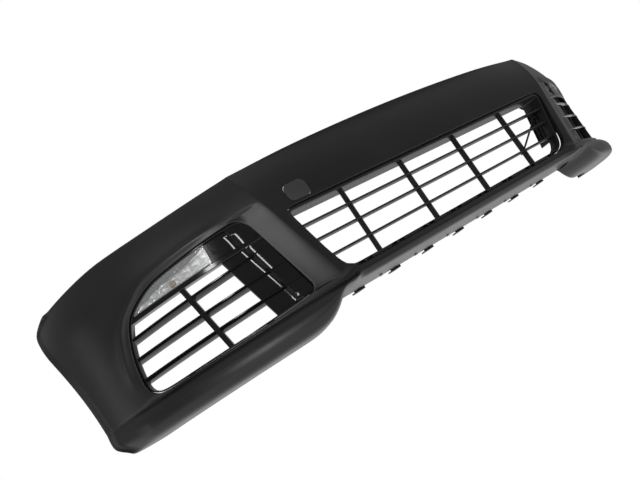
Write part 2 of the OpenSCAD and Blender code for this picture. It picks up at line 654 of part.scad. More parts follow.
// The bowl's section: radius and depth behind its mouth
function bowl(r) = rear - 9 - r * r / 230;
module lamp_reflector() {
    steps = [for (k = [0:8]) 8 + 13 * k];
    color("#d9dde1") side_frame() intersection() {
        side_prism(7.4);
        above_bar(8.4);
        bar(lamp_end + 3, 900, -300, 0, 0, 300);
        shell(face_r - 7, face_r - lamp_depth + 3);
        translate([lamp_axis[0], 0, lamp_axis[1]]) rotate([90, 0, 0]) rotate_extrude($fn = 96)
            polygon(concat([for (r = steps) [r, -bowl(r)]],
                [for (k = [8:-1:0]) [steps[k], -bowl(steps[k]) - 1.6]]));
    }
}
module lamp_bulb() {
    color("#e9a13a", 0.6) side_frame() on_axis(rear - 8) {
        cylinder(r = 6.5, h = 16);
        translate([0, 0, 16]) sphere(r = 6.5);
        translate([0, 0, -6]) cylinder(r = 5, h = 6);
    }
}
module bulb_holder() {
    color("#3a3b3e") side_frame() {
        difference() {
            on_axis(rear + 10) cylinder(r = bore_r - 0.08, h = 17.2);
            on_axis(rear - 1.9) cylinder(r = 5.05, h = 20);
        }
        for (a = [0, 180]) on_axis(rear - 3) rotate([0, 0, a])
            translate([bore_r - 1.5, -lug_wide / 2, 0]) cube([lug_reach + 1, lug_wide, 2]);
        on_axis(rear + 11) cylinder(r = 15, h = 3.3);
        on_axis(rear + 27) translate([-9, -6, 0]) cube([18, 12, 16.5]);
    }
}
module holder_seal() {
    color("#1a1a1a") side_frame() on_axis(rear + 7.6) difference() {
        cylinder(r = 14, h = 1.4);
        translate([0, 0, -1]) cylinder(r = bore_r + 0.3, h = 4);
    }
}

// ---- tow-eye cover: pulls off forwards ----
module tow_eye_cover() {
    color("#2e2f33") tow_place() {
        rounded_block(tow_size, tow_round, 0.2, 3);
        for (x = [-18, 18]) bar(x - 1, x + 1, 2.9, 12, -6, 6);
        for (x = [-1, 1]) bar(x > 0 ? 19 : -20.4, x > 0 ? 20.4 : -19, 8, 10, -6, 6);
    }
}

module lamp_screws() {
    color("#55585c") for (side = [0, 1]) mirror([side, 0, 0]) side_frame()
        lamp_screw_place(lug_front + 2.7) screw(14);
}

// Puts a piece in the part's frame: the middle, the left side, and the right side mirrored
origin_y = 191;
module middle() { translate([0, -origin_y, 0]) children(); }
module left() { middle() children(); }
module right() { middle() mirror([1, 0, 0]) children(); }

middle() bumper_skin();
middle() centre_grille();
middle() grille_stay();
middle() lower_valance();
left() side_grille();  // side_grille_left
right() side_grille();  // side_grille_right
left() lamp_lens();  // lamp_lens_left
right() lamp_lens();  // lamp_lens_right
left() lamp_housing();  // lamp_housing_left
right() lamp_housing();  // lamp_housing_right
left() lamp_reflector();  // lamp_reflector_left
right() lamp_reflector();  // lamp_reflector_right
left() lamp_bulb();  // lamp_bulb_left
right() lamp_bulb();  // lamp_bulb_right
left() bulb_holder();  // bulb_holder_left
right() bulb_holder();  // bulb_holder_right
left() holder_seal();  // holder_seal_left
right() holder_seal();  // holder_seal_right
middle() tow_eye_cover();
middle() valance_screws();
middle() lamp_screws();
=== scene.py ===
import math

import bmesh
import bpy
import numpy as np
from mathutils import Matrix, Vector


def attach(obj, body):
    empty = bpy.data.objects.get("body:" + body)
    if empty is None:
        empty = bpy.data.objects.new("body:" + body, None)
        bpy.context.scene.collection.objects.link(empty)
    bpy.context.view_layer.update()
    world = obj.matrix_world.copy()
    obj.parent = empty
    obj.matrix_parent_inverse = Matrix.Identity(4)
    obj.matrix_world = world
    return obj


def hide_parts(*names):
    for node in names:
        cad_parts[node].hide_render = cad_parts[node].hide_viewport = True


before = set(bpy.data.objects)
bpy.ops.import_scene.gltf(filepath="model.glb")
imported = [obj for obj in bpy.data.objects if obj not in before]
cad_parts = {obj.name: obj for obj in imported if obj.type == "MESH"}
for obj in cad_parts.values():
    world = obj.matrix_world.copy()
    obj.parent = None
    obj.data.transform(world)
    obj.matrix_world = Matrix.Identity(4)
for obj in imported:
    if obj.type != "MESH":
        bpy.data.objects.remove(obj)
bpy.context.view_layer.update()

# Lengths below are in millimetres, with Y = 0 at the face of the middle opening, as in the part's design.
MM = 0.001
ORIGIN_Y = 191.0
SMOOTH_ANGLE = math.radians(34)


# ---- general functions ----
def clamp01(v):
    return min(1.0, max(0.0, v))


def smooth(a, b, v):
    t = clamp01((v - a) / (b - a))
    return t * t * (3 - 2 * t)


def mix(a, b, t):
    return a + (b - a) * t


def unit(v):
    v = np.asarray(v, float)
    return v / np.linalg.norm(v)


def bezier(p, t):
    s = 1 - t
    w = (s * s * s, 3 * s * s * t, 3 * s * t * t, t * t * t)
    return tuple(sum(w[k] * p[k][axis] for k in range(4)) for axis in (0, 1))


def bezier_slope(p, t):
    s = 1 - t
    w = (3 * s * s, 6 * s * t, 3 * t * t)
    return tuple(sum(w[k] * (p[k + 1][axis] - p[k][axis]) for k in range(3)) for axis in (0, 1))


def bezier_at(p, axis, value):
    """The parameter at which one coordinate of a rising curve reaches a value."""
    low, high = 0.0, 1.0
    for _ in range(22):
        middle = (low + high) / 2
        if bezier(p, middle)[axis] < value:
            low = middle
        else:
            high = middle
    return (low + high) / 2


def closed_spline(points, steps):
    """A closed cubic B-spline through the neighbourhood of the points, with that many samples per point."""
    p = np.asarray(points, float)
    before, after, further = np.roll(p, 1, 0), np.roll(p, -1, 0), np.roll(p, -2, 0)
    samples = []
    for t in np.linspace(0, 1, steps, endpoint=False):
        w = ((1 - t) ** 3, 3 * t**3 - 6 * t**2 + 4, -3 * t**3 + 3 * t**2 + 3 * t + 1, t**3)
        samples.append((w[0] * before + w[1] * p + w[2] * after + w[3] * further) / 6)
    return np.stack(samples, 1).reshape(-1, p.shape[1])


def crossings(ring, axis, value):
    """Where a closed outline crosses a line: the other coordinate, in rising order."""
    found = []
    for a, b in zip(ring, np.roll(ring, -1, 0)):
        if (a[axis] - value) * (b[axis] - value) < 0:
            t = (value - a[axis]) / (b[axis] - a[axis])
            found.append(mix(a[1 - axis], b[1 - axis], t))
    return sorted(found)


# ---- the design's driving dimensions ----
# Top edge: its height, its falls to the kink and to the arch, its flange
TOP_Z, TOP_CROWN, TOP_FALL, TOP_FLANGE, KINK_X = 388, 17, 20, 28, 500
# The upper face leans back: how far, from which height, over what rise
TOP_SETBACK, SETBACK_FROM, SETBACK_RUN = 30, 254, 120
# Depth of the walls that return from the openings, and the skin's thickness
RETURN_DEPTH, SKIN_WALL = 14, 3
# Plan: the middle's bow at 1 m, half the width, depth of the wing, its two guide points
BOW, HALF_WIDTH, WING_DEPTH, SHOULDER, CORNER = 30, 899, 424, (640, 80), (890, 190)
# The ridge between middle and wing: foot, lean in x, tilt in depth, height where the tilt is nil
RIDGE_FOOT, RIDGE_LEAN, RIDGE_TILT, RIDGE_LEVEL, RIDGE_FADE = (420, 87), 0.29, 0.085, 265, 60
# The lip under the side openings: stand-out, height of its ridge, inner end, and its rise there
LIP_OUT, LIP_RIDGE_Z, LIP_END_X, LIP_END_RADIUS, LIP_END_SLOPE, SOLE_DEPTH = 18, 41, 412, 110, 0.45, 85
# Openings: heights, half widths, then the radii of their corners
MID_TOP, MID_BOTTOM, MID_HALF_TOP, MID_HALF_BOTTOM = 247, 74, 446, 396
SIDE_TOP, SIDE_BOTTOM, SIDE_OUTER_X, SIDE_WIDEST_Z, SIDE_OUTER_TOP = 278, 67, 803, 97, 256
MID_RADII = (20, 36)
SIDE_RADII = (30, 46, 26, 12)
# The wheel arch: width and height of its flared band, depth of its flange
FLARE_RUN, FLARE_OUT, ARCH_FLANGE = 17, 6, 20
# The bead round a side opening and the recessed pillar inboard of it, with the runs they fade over
BEAD_HEIGHT, BEAD_FROM, BEAD_SPREAD, BEAD_FADE_X, BEAD_FADE_Z = 3.8, 14, 7, (540, 640), (90, 160)
PILLAR_RECESS, PILLAR_FADE_X, PILLAR_EDGE, PILLAR_STEP = 8, (556, 512), 5, 2.5
# The part of the wall that has them
RELIEF_X, RELIEF_Z = (420, 850), (75, 330)
# How far the side openings face outwards, and the radius of the skin's edges
SIDE_TILT, EDGE_RADIUS = math.radians(30), 2.3
# Tow-eye cover: centre, size, corner radius, gap all round
TOW_AT, TOW_SIZE, TOW_ROUND, TOW_GAP = (-390, 274.5), (58, 40), 14, 0.5


# ---- plan: a nearly flat middle, a ridge line, then a curve back to the wheel arch ----
def crown(x):
    return BOW * x * x / 1e6


def ridge_x(z):
    return RIDGE_FOOT[0] + (z - RIDGE_FOOT[1]) * RIDGE_LEAN


def ridge_back(z):
    return RIDGE_TILT * (min(z, TOP_Z) - RIDGE_LEVEL)


def wing(z):
    """The wing's plan at a height: a cubic curve from the ridge to the end of the part."""
    x, back = ridge_x(z), ridge_back(z)
    return (
        (x, crown(x) + back),
        (SHOULDER[0], SHOULDER[1] + back),
        (CORNER[0], CORNER[1] + back / 2),
        (HALF_WIDTH, WING_DEPTH),
    )


def face_y(x, z):
    """Depth of the middle's face, which takes on the ridge's tilt near the ridge."""
    return crown(x) + ridge_back(z) * smooth(MID_HALF_BOTTOM - RIDGE_FADE, ridge_x(z), x)


def setback(z):
    return -TOP_SETBACK * clamp01((z - SETBACK_FROM) / SETBACK_RUN) ** 2


# ---- outlines of the openings and edge lines ----
def mid_edge_x(z):
    return mix(MID_HALF_BOTTOM, MID_HALF_TOP, (z - MID_BOTTOM) / (MID_TOP - MID_BOTTOM))


def side_inner_x(z):
    """A straight line that leans out by a quarter of its rise."""
    return 471 + 0.252 * (z - 86)


def side_outer_x(z):
    """An arc, widest near the foot, that bows in by 40 mm over 150 mm of rise."""
    return SIDE_OUTER_X - 40 * ((z - SIDE_WIDEST_Z) / 150) ** 2


def side_top_z(x):
    return SIDE_TOP - 0.05 * (x - 555) - 0.0003 * (x - 555) ** 2


def side_bottom_z(x):
    return SIDE_BOTTOM + 0.00028 * max(0, 655 - x) ** 2


def top_edge_z(x):
    fall = 0.35 * smooth(KINK_X - 20, 720, x) + 0.65 * clamp01((x - 780) / 110) ** 2
    return TOP_Z - TOP_CROWN * (min(x, KINK_X) / KINK_X) ** 2 - TOP_FALL * fall


def arch_y(z):
    """Depth of the wheel arch's edge: a steep run at the top, an arc, and a toe that turns in."""
    if z > 334:
        return 410.5 - 3.7 * (z - 334)
    if z > 51:
        return 323 + 93 * ((z - 51) / 281) ** 2
    return 323 - 38 * clamp01((33 - z) / 24) ** 2


# ---- the skin's cage: rows run down the wall, columns run out from the middle ----
# (stand-out, height) of the lip's rows at the sides and in the middle, and each row's share of the rise
LIP_SIDE = (
    (-4, 63), (3, 59), (LIP_OUT - 8, 52), (LIP_OUT, LIP_RIDGE_Z), (LIP_OUT + 2, 26),
    (LIP_OUT - 1, 12), (9, 5), (-4, 1.5), (-25, 0), (-SOLE_DEPTH, 0),
)
LIP_MIDDLE = (
    (0, 71), (2, 68), (4, 65), (5, 61), (3, 56), (0, 51), (-6, 48), (-25, 46), (-60, 42),
    (-SOLE_DEPTH, 40),
)
LIP_RISE = (0, 0, 0.1, 0.25, 0.55, 0.9, 1, 1, 1, 1)
# Rows: distances below the top edge and above an opening, then shares of an opening's height
BAND_ROWS = (6, 16)
BEAD_ROWS = (26, 17, 9, 0)
OPENING_ROWS = (0.06, 0.13, 0.22, 0.35, 0.5, 0.65, 0.78, 0.87, 0.94, 1)
BAND_STEPS = 3
ROW_TOP = 1
ROW_FIRST_BEAD = ROW_TOP + len(BAND_ROWS) + BAND_STEPS + 1
ROW_OPEN = ROW_FIRST_BEAD + len(BEAD_ROWS) - 1
ROW_CLOSE = ROW_OPEN + len(OPENING_ROWS)
ROW_LAST = ROW_CLOSE + len(LIP_SIDE)
# Ends in x of the side openings' top and bottom lines, and the height whose plan gives the top edge
SIDE_TOP_ENDS, SIDE_BOTTOM_ENDS, TOP_PLAN_Z = (519, 760), (470, 796), 340
# Columns: shares of a side opening's width, then distances outboard of it
SIDE_COLUMNS = (0.03, 0.07, 0.14, 0.24, 0.36, 0.48, 0.6, 0.72, 0.82, 0.9, 0.96, 1)
BEAD_COLUMNS = (9, 17, 26)
MID_STEPS = 6
WING_STEPS = 6
COL_MID = MID_STEPS + 3
COL_RIDGE = COL_MID + 2
COL_INNER = COL_RIDGE + 3
COL_OUTER = COL_INNER + len(SIDE_COLUMNS)
COL_FLARE = COL_OUTER + len(BEAD_COLUMNS) + WING_STEPS
COL_ARCH = COL_FLARE + 1
COL_LAST = COL_ARCH + 1


def side_fraction(c):
    if c <= COL_INNER:
        return 0
    return 1 if c >= COL_OUTER else SIDE_COLUMNS[c - COL_INNER - 1]


def column_line(c, middle, side_line, ends):
    """Height of an opening's top or bottom line at a column."""
    if c <= COL_MID:
        return middle
    if c < COL_INNER:
        return mix(middle, side_line(ends[0]), (c - COL_MID) / (COL_INNER - COL_MID))
    return side_line(mix(ends[0], ends[1], side_fraction(c)))


def column_top(c):
    return column_line(c, MID_TOP, side_top_z, SIDE_TOP_ENDS)


def column_bottom(c):
    return column_line(c, MID_BOTTOM, side_bottom_z, SIDE_BOTTOM_ENDS)


def column_x(c, z):
    if c <= MID_STEPS:
        return c / MID_STEPS * (mid_edge_x(z) - MID_RADII[1])
    if c <= COL_MID:
        return mid_edge_x(z) - MID_RADII[1] * (COL_MID - c) / 3
    if c <= COL_RIDGE:
        return mix(mid_edge_x(z), ridge_x(z), (c - COL_MID) / (COL_RIDGE - COL_MID))
    if c <= COL_INNER:
        return mix(ridge_x(z), side_inner_x(z), (c - COL_RIDGE) / (COL_INNER - COL_RIDGE))
    return mix(side_inner_x(z), side_outer_x(min(z, SIDE_OUTER_TOP)), side_fraction(c))


def wing_t(c, z, zp):
    """Place on the wing's curve of a column outboard of the side opening."""
    curve = wing(zp)
    t_out = bezier_at(curve, 0, side_outer_x(min(zp, SIDE_OUTER_TOP)))
    t_arch = bezier_at(curve, 1, arch_y(z))
    t_flare = t_arch - FLARE_RUN / math.hypot(*bezier_slope(curve, t_arch))
    t_bead = t_out + BEAD_COLUMNS[2] / math.hypot(*bezier_slope(curve, t_out))
    if c <= COL_OUTER + 3:
        return t_out + (t_bead - t_out) * BEAD_COLUMNS[c - COL_OUTER - 1] / BEAD_COLUMNS[2]
    if c <= COL_FLARE:
        return mix(t_bead, t_flare, (c - COL_OUTER - 3) / WING_STEPS)
    return t_arch


def lip_point(k, x, end):
    """Stand-out and height of a lip row: the side's section blends into the middle's at the lip's end."""
    r = LIP_END_RADIUS
    rise = r * LIP_END_SLOPE if x < LIP_END_X else 0
    if LIP_END_X <= x <= LIP_END_X + r:
        rise = min(r * LIP_END_SLOPE, r - math.sqrt(r * r - (r - (x - LIP_END_X)) ** 2))
    side = smooth(LIP_END_X - 30, LIP_END_X - 4, x)
    s, m = LIP_SIDE[k], LIP_MIDDLE[k]
    out = s[0] * mix(1, 0.1, end) if s[0] > 0 or k == 0 else s[0]
    high = min(s[1] + LIP_RISE[k] * rise, max(m[1], s[1]))
    return mix(m[0], out, side), mix(m[1], high, side)


# Corners: column, row, way in along x, way in down the rows, radius, columns and rows that follow
CORNERS = (
    (COL_MID, ROW_OPEN, -1, 1, MID_RADII[0], (1, 0.5), (1, 0.6, 0.25)),
    (COL_MID, ROW_CLOSE, -1, -1, MID_RADII[1], (1, 0.5), (1,)),
    (COL_INNER, ROW_OPEN, 1, 1, SIDE_RADII[0], (1, 0.5), (1, 0.6, 0.25)),
    (COL_OUTER, ROW_OPEN, -1, 1, SIDE_RADII[1], (1, 0.8, 0.6, 0.4, 0.2), (1, 0.8, 0.55, 0.3)),
    (COL_OUTER, ROW_CLOSE, -1, -1, SIDE_RADII[2], (1, 0.8, 0.5, 0.2), (1,)),
    (COL_INNER, ROW_CLOSE, 1, -1, SIDE_RADII[3], (1, 0.5), (1,)),
)


def corner_shift(corner, c, r, x, z):
    """How far a node moves in x and z to round an opening's corner; nodes around it follow in part."""
    column, row, way_x, way_r, radius, columns, rows = corner
    edge = {COL_MID: mid_edge_x, COL_INNER: side_inner_x, COL_OUTER: side_outer_x}[column](z)
    line = column_top(column) if way_r > 0 else column_bottom(column)
    in_c, in_r = way_x * (c - column), way_r * (r - row)
    s_c = abs(x - edge) if in_c > 0 else 0
    s_r = abs(z - line) if in_r > 0 else 0
    s = max(s_c, s_r)
    out_c, out_r = max(0, -in_c), max(0, -in_r)
    if (in_c > 0 and in_r > 0) or s >= radius or out_c >= len(columns) or out_r >= len(rows):
        return 0, 0
    share = columns[out_c] * rows[out_r]
    turn = math.radians(45 * (1 - s / radius))
    along = radius * (1 - math.sin(turn)) - s
    drop = radius * (1 - math.cos(turn))
    if s_c >= s_r and s_c > 0:
        return share * way_x * along, -share * way_r * drop
    if s_r > 0:
        return share * way_x * drop, -share * way_r * along
    return share * way_x * drop, -share * way_r * drop


def row_z(c, r, edge):
    top, bottom = column_top(c), column_bottom(c)
    if r <= ROW_TOP:
        return edge
    if r <= ROW_TOP + len(BAND_ROWS):
        return edge - BAND_ROWS[r - ROW_TOP - 1]
    if r < ROW_FIRST_BEAD:
        t = (r - ROW_TOP - len(BAND_ROWS)) / (BAND_STEPS + 1)
        return mix(edge - BAND_ROWS[1], top + BEAD_ROWS[0], t)
    if r <= ROW_OPEN:
        return top + BEAD_ROWS[r - ROW_FIRST_BEAD]
    return mix(top, bottom, OPENING_ROWS[r - ROW_OPEN - 1])


def flange_edge(r, out, z):
    """The flange's inner edge at a row of the arch: its stand-out and its height."""
    if r == 0:
        return out, z - ARCH_FLANGE
    if r == ROW_TOP:
        return out - 0.7 * ARCH_FLANGE, z - 0.7 * ARCH_FLANGE
    if r <= ROW_CLOSE:
        return out - ARCH_FLANGE, z
    return min(out, 0.1 * out - 18.2), max(z, 18 + 0.12 * z)


def wall_normal(x, z):
    slope = bezier_slope(wing(z), bezier_at(wing(z), 0, x))
    return unit((slope[1], -slope[0]))


def plan_point(c, x, z, t):
    """A column's point in the plan and the way out from it."""
    mid_n = unit((face_y(x + 1, z) - face_y(x, z), -1))
    slope = bezier_slope(wing(z), t)
    wing_n = unit((slope[1], -slope[0]))
    if c < COL_RIDGE:
        return (x, face_y(x, z)), mid_n
    if c == COL_RIDGE:
        return wing(z)[0], unit(mid_n + wing_n)
    return bezier(wing(z), t), wing_n


def skin_node(c, r):
    """A node of the cage: its height, then its place in the plan, then how far it stands out."""
    lower = r > ROW_CLOSE
    edge_c = min(c, COL_OUTER)
    level = TOP_PLAN_Z
    top_x = column_x(c, level) if c <= COL_OUTER else bezier(wing(level), wing_t(c, level, level))[0]
    z0 = row_z(c, min(r, ROW_CLOSE), top_edge_z(top_x))
    x0 = column_x(edge_c, max(z0, RIDGE_FOOT[1]))
    shifts = [corner_shift(k, c, min(r, ROW_CLOSE), x0, z0) for k in CORNERS]
    shift = (0, 0) if lower else (sum(s[0] for s in shifts), sum(s[1] for s in shifts))
    zp = RIDGE_FOOT[1] if lower else max(z0 + shift[1], RIDGE_FOOT[1])
    end = clamp01((c - COL_OUTER - 3) / WING_STEPS)
    lip = lip_point(max(0, r - ROW_CLOSE - 1), column_x(edge_c, RIDGE_FOOT[1]), end)
    z = lip[1] if lower else z0 + shift[1]
    x = column_x(edge_c, zp) + shift[0]
    t = 0
    if COL_RIDGE < c <= COL_OUTER:
        t = bezier_at(wing(zp), 0, x)
    elif c > COL_OUTER:
        t = wing_t(c, max(z, 8), zp) + shift[0] / bezier_slope(wing(zp), 0.6)[0]
    point, out = plan_point(c, x, zp, t)
    d = lip[0] if lower else setback(z)
    if c == COL_LAST:
        d, z = flange_edge(r, d, z)
    d += (FLARE_OUT if c >= COL_ARCH else 0) - (TOP_FLANGE if r == 0 else 0)
    return point[0] + out[0] * d, point[1] + out[1] * d, z


HALF = [[skin_node(c, r) for r in range(ROW_LAST + 1)] for c in range(COL_LAST + 1)]
ROWS = ROW_LAST + 1
GRID = [
    [(-p[0] if i < 0 else p[0], p[1], p[2]) for p in HALF[abs(i)]]
    for i in range(-COL_LAST, COL_LAST + 1)
]
TURN = np.array((-math.sin(SIDE_TILT), math.cos(SIDE_TILT), 0))
# Columns that each opening spans, and the way its return wall runs: middle, left, right
OPENINGS = (
    (COL_LAST - COL_MID, COL_LAST + COL_MID, np.array((0.0, 1.0, 0.0))),
    (COL_LAST + COL_INNER, COL_LAST + COL_OUTER, TURN),
    (COL_LAST - COL_OUTER, COL_LAST - COL_INNER, TURN * (-1, 1, 1)),
)


def loop_nodes(opening):
    first, last, _ = opening
    return (
        [(i, ROW_OPEN) for i in range(first, last)]
        + [(last, r) for r in range(ROW_OPEN, ROW_CLOSE)]
        + [(i, ROW_CLOSE) for i in range(last, first, -1)]
        + [(first, r) for r in range(ROW_CLOSE, ROW_OPEN, -1)]
    )


LOOPS = [loop_nodes(o) for o in OPENINGS]


def loop_ring(k, inset, steps=4):
    """An opening's outline moved in by a distance, as a smooth closed line."""
    points = np.array([GRID[i][r] for i, r in LOOPS[k]])
    tangent = np.roll(points, -1, 0) - np.roll(points, 1, 0)
    away = np.cross(tangent, OPENINGS[k][2])
    away /= np.linalg.norm(away, axis=1)[:, None]
    return closed_spline(points - inset * away, steps)


# ---- meshes ----
def to_frame(points):
    return (np.asarray(points, float).reshape(-1, 3) - (0, ORIGIN_Y, 0)) * MM


def mark_sharp(mesh):
    bm = bmesh.new()
    bm.from_mesh(mesh)
    for face in bm.faces:
        face.smooth = True
    for edge in bm.edges:
        edge.smooth = len(edge.link_faces) != 2 or edge.calc_face_angle(0) < SMOOTH_ANGLE
    bm.to_mesh(mesh)
    bm.free()


def add_object(name, data):
    obj = bpy.data.objects.new(name, data)
    bpy.context.scene.collection.objects.link(obj)
    return obj


def make_object(name, verts, faces, material):
    mesh = bpy.data.meshes.new(name)
    mesh.from_pydata([tuple(v) for v in to_frame(verts)], [], faces)
    bm = bmesh.new()
    bm.from_mesh(mesh)
    loose = [v for v in bm.verts if not v.link_faces]
    bmesh.ops.delete(bm, geom=loose, context="VERTS")
    bmesh.ops.recalc_face_normals(bm, faces=bm.faces)
    bm.to_mesh(mesh)
    bm.free()
    mark_sharp(mesh)
    mesh.materials.append(material)
    return add_object(name, mesh)


def add_piece(name, solid, material, slot, body="root", replaces=(), side=1, bevel=0):
    """Puts a solid, given as (points, faces), in the scene. side -1 mirrors it to the right."""
    verts, faces = solid
    verts = np.asarray(verts, float) * (side, 1, 1)
    obj = make_object(name, verts, faces, material)
    if bevel:
        add_bevel(obj, bevel)
    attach(obj, body)
    if replaces:
        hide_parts(*replaces)
    return obj


def add_bevel(obj, width):
    bevel = obj.modifiers.new("bevel", "BEVEL")
    bevel.width = width * MM
    bevel.segments = 2
    bevel.limit_method = "ANGLE"
    bevel.angle_limit = math.radians(38)
    bevel.harden_normals = True


def baked(obj):
    """Replaces the object's mesh by the one that its modifiers make."""
    graph = bpy.context.evaluated_depsgraph_get()
    mesh = bpy.data.meshes.new_from_object(obj.evaluated_get(graph), depsgraph=graph)
    obj.modifiers.clear()
    old = obj.data
    obj.data = mesh
    bpy.data.meshes.remove(old)


def cut(obj, solids):
    """Takes solids that don't touch each other out of an object."""
    verts, faces = joined(solids)
    cutter = make_object("cutter", verts, faces, obj.data.materials[0])
    boolean = obj.modifiers.new("cut", "BOOLEAN")
    boolean.operation = "DIFFERENCE"
    boolean.solver = "MANIFOLD"
    boolean.object = cutter
    baked(obj)
    bpy.data.objects.remove(cutter)
    mark_sharp(obj.data)


def joined(solids):
    verts, faces = [], []
    for points, polygons in solids:
        start = len(verts)
        verts.extend([tuple(p) for p in points])
        faces.extend([tuple(i + start for i in polygon) for polygon in polygons])
    return verts, faces


def loft(rings, capped=False, hooped=False):
    """A solid through closed rings of equally many points, capped or hooped round on itself."""
    n, m = len(rings[0]), len(rings)
    verts = [tuple(p) for ring in rings for p in ring]
    faces = []
    for j in range(m if hooped else m - 1):
        a, b = j * n, (j + 1) % m * n
        faces.extend([(a + i, a + (i + 1) % n, b + (i + 1) % n, b + i) for i in range(n)])
    if capped:
        faces.append(tuple(range(n))[::-1])
        faces.append(tuple((m - 1) * n + i for i in range(n)))
    return verts, faces


def slab(front, back, keep=None):
    """A plate between two grids of points; keep says which cells it has."""
    m, n = len(front), len(front[0])
    off = m * n
    verts = [tuple(p) for row in front for p in row] + [tuple(p) for row in back for p in row]
    cells = {(i, j) for i in range(m - 1) for j in range(n - 1) if keep is None or keep(i, j)}
    faces = []
    for i, j in cells:
        a, b, c, d = i * n + j, (i + 1) * n + j, (i + 1) * n + j + 1, i * n + j + 1
        faces.append((a, b, c, d))
        faces.append((a + off, d + off, c + off, b + off))
        edges = {(i - 1, j): (d, a), (i + 1, j): (b, c), (i, j - 1): (a, b), (i, j + 1): (c, d)}
        for neighbour, (p, q) in edges.items():
            if neighbour not in cells:
                faces.append((q, p, p + off, q + off))
    return verts, sorted(faces)


def block(x0, x1, y0, y1, z0, z1):
    return loft([[(x, y0, z0), (x, y1, z0), (x, y1, z1), (x, y0, z1)] for x in (x0, x1)], capped=True)


def rod(a, b, radius, sides=24):
    """A round bar from a to b."""
    a, b = np.asarray(a, float), np.asarray(b, float)
    along = unit(b - a)
    across = unit(np.cross(along, (0.31, 0.2, 0.93)))
    other = np.cross(along, across)
    length = np.linalg.norm(b - a)
    stations = [(0, radius), (length, radius)]
    turns = [2 * math.pi * k / sides for k in range(sides)]
    rings = [
        [a + along * s + r * (across * math.cos(t) + other * math.sin(t)) for t in turns]
        for s, r in stations
    ]
    return loft(rings, capped=True)


# ---- materials ----
def put(node, values):
    """Sets a node's sockets."""
    for socket, value in values.items():
        node.inputs[socket].default_value = value


def material(name, base, rough, grain=0.0, grain_size=0.8, spread=0.06, metallic=0.0, tint=0.15,
             alpha=1.0, specular=0.5):
    """A moulded or metal finish: uneven gloss, a fine grain, and a slow drift of colour."""
    m = bpy.data.materials.new(name)
    m.use_nodes = True
    tree = m.node_tree
    shader = tree.nodes["Principled BSDF"]
    put(shader, {"Metallic": metallic, "Specular IOR Level": specular, "Alpha": alpha})
    place = tree.nodes.new("ShaderNodeTexCoord")
    slow = tree.nodes.new("ShaderNodeTexNoise")
    put(slow, {"Scale": 9, "Detail": 5})
    tree.links.new(place.outputs["Object"], slow.inputs["Vector"])
    gloss = tree.nodes.new("ShaderNodeMapRange")
    put(gloss, {"From Min": 0.3, "From Max": 0.7, "To Min": rough - spread / 2, "To Max": rough + spread / 2})
    tree.links.new(slow.outputs["Fac"], gloss.inputs["Value"])
    tree.links.new(gloss.outputs["Result"], shader.inputs["Roughness"])
    colour = tree.nodes.new("ShaderNodeValToRGB")
    for stop, position, factor in zip(colour.color_ramp.elements, (0.35, 0.68), (1 - tint, 1 + tint)):
        stop.position = position
        stop.color = (*[v * factor for v in base], 1)
    tree.links.new(slow.outputs["Fac"], colour.inputs["Fac"])
    tree.links.new(colour.outputs["Color"], shader.inputs["Base Color"])
    if grain:
        fine = tree.nodes.new("ShaderNodeTexNoise")
        put(fine, {"Scale": 1000 / grain_size, "Detail": 2})
        tree.links.new(place.outputs["Object"], fine.inputs["Vector"])
        bump = tree.nodes.new("ShaderNodeBump")
        put(bump, {"Strength": grain, "Distance": 0.0001})
        tree.links.new(fine.outputs["Fac"], bump.inputs["Height"])
        tree.links.new(bump.outputs["Normal"], shader.inputs["Normal"])
    return m


SKIN = material("skin_black", (0.006, 0.0057, 0.0063), 0.36, grain=0.10, grain_size=1.1, specular=0.38)
GRILLE = material("grille_black", (0.008, 0.008, 0.009), 0.42, grain=0.35, grain_size=0.9, specular=0.35)
GLOSS = material("gloss_black", (0.004, 0.004, 0.0044), 0.10, spread=0.03, specular=0.3)
LENS = material("lens_clear", (0.93, 0.95, 0.96), 0.03, spread=0.02, tint=0.02, alpha=0.09)
SILVER = material("reflector_silver", (0.96, 0.96, 0.965), 0.13, spread=0.03, metallic=0.4, tint=0.02)
HOUSING = material("housing_dark", (0.022, 0.022, 0.024), 0.5, grain=0.4, grain_size=1.2)
AMBER = material("bulb_amber", (0.66, 0.42, 0.2), 0.08, spread=0.03, tint=0.06, alpha=0.45)
HOLDER = material("holder_grey", (0.05, 0.05, 0.055), 0.5, grain=0.4, grain_size=1.0)
RUBBER = material("seal_rubber", (0.012, 0.012, 0.012), 0.75, grain=0.5, grain_size=0.7)
COVER = material("cover_black", (0.030, 0.029, 0.031), 0.44, grain=0.14, grain_size=1.0)
ZINC = material("screw_zinc", (0.48, 0.48, 0.47), 0.33, grain=0.3, grain_size=0.5, metallic=1.0, tint=0.1)


# ---- the skin ----
def is_open(i, r):
    return ROW_OPEN <= r < ROW_CLOSE and any(o[0] <= i < o[1] for o in OPENINGS)


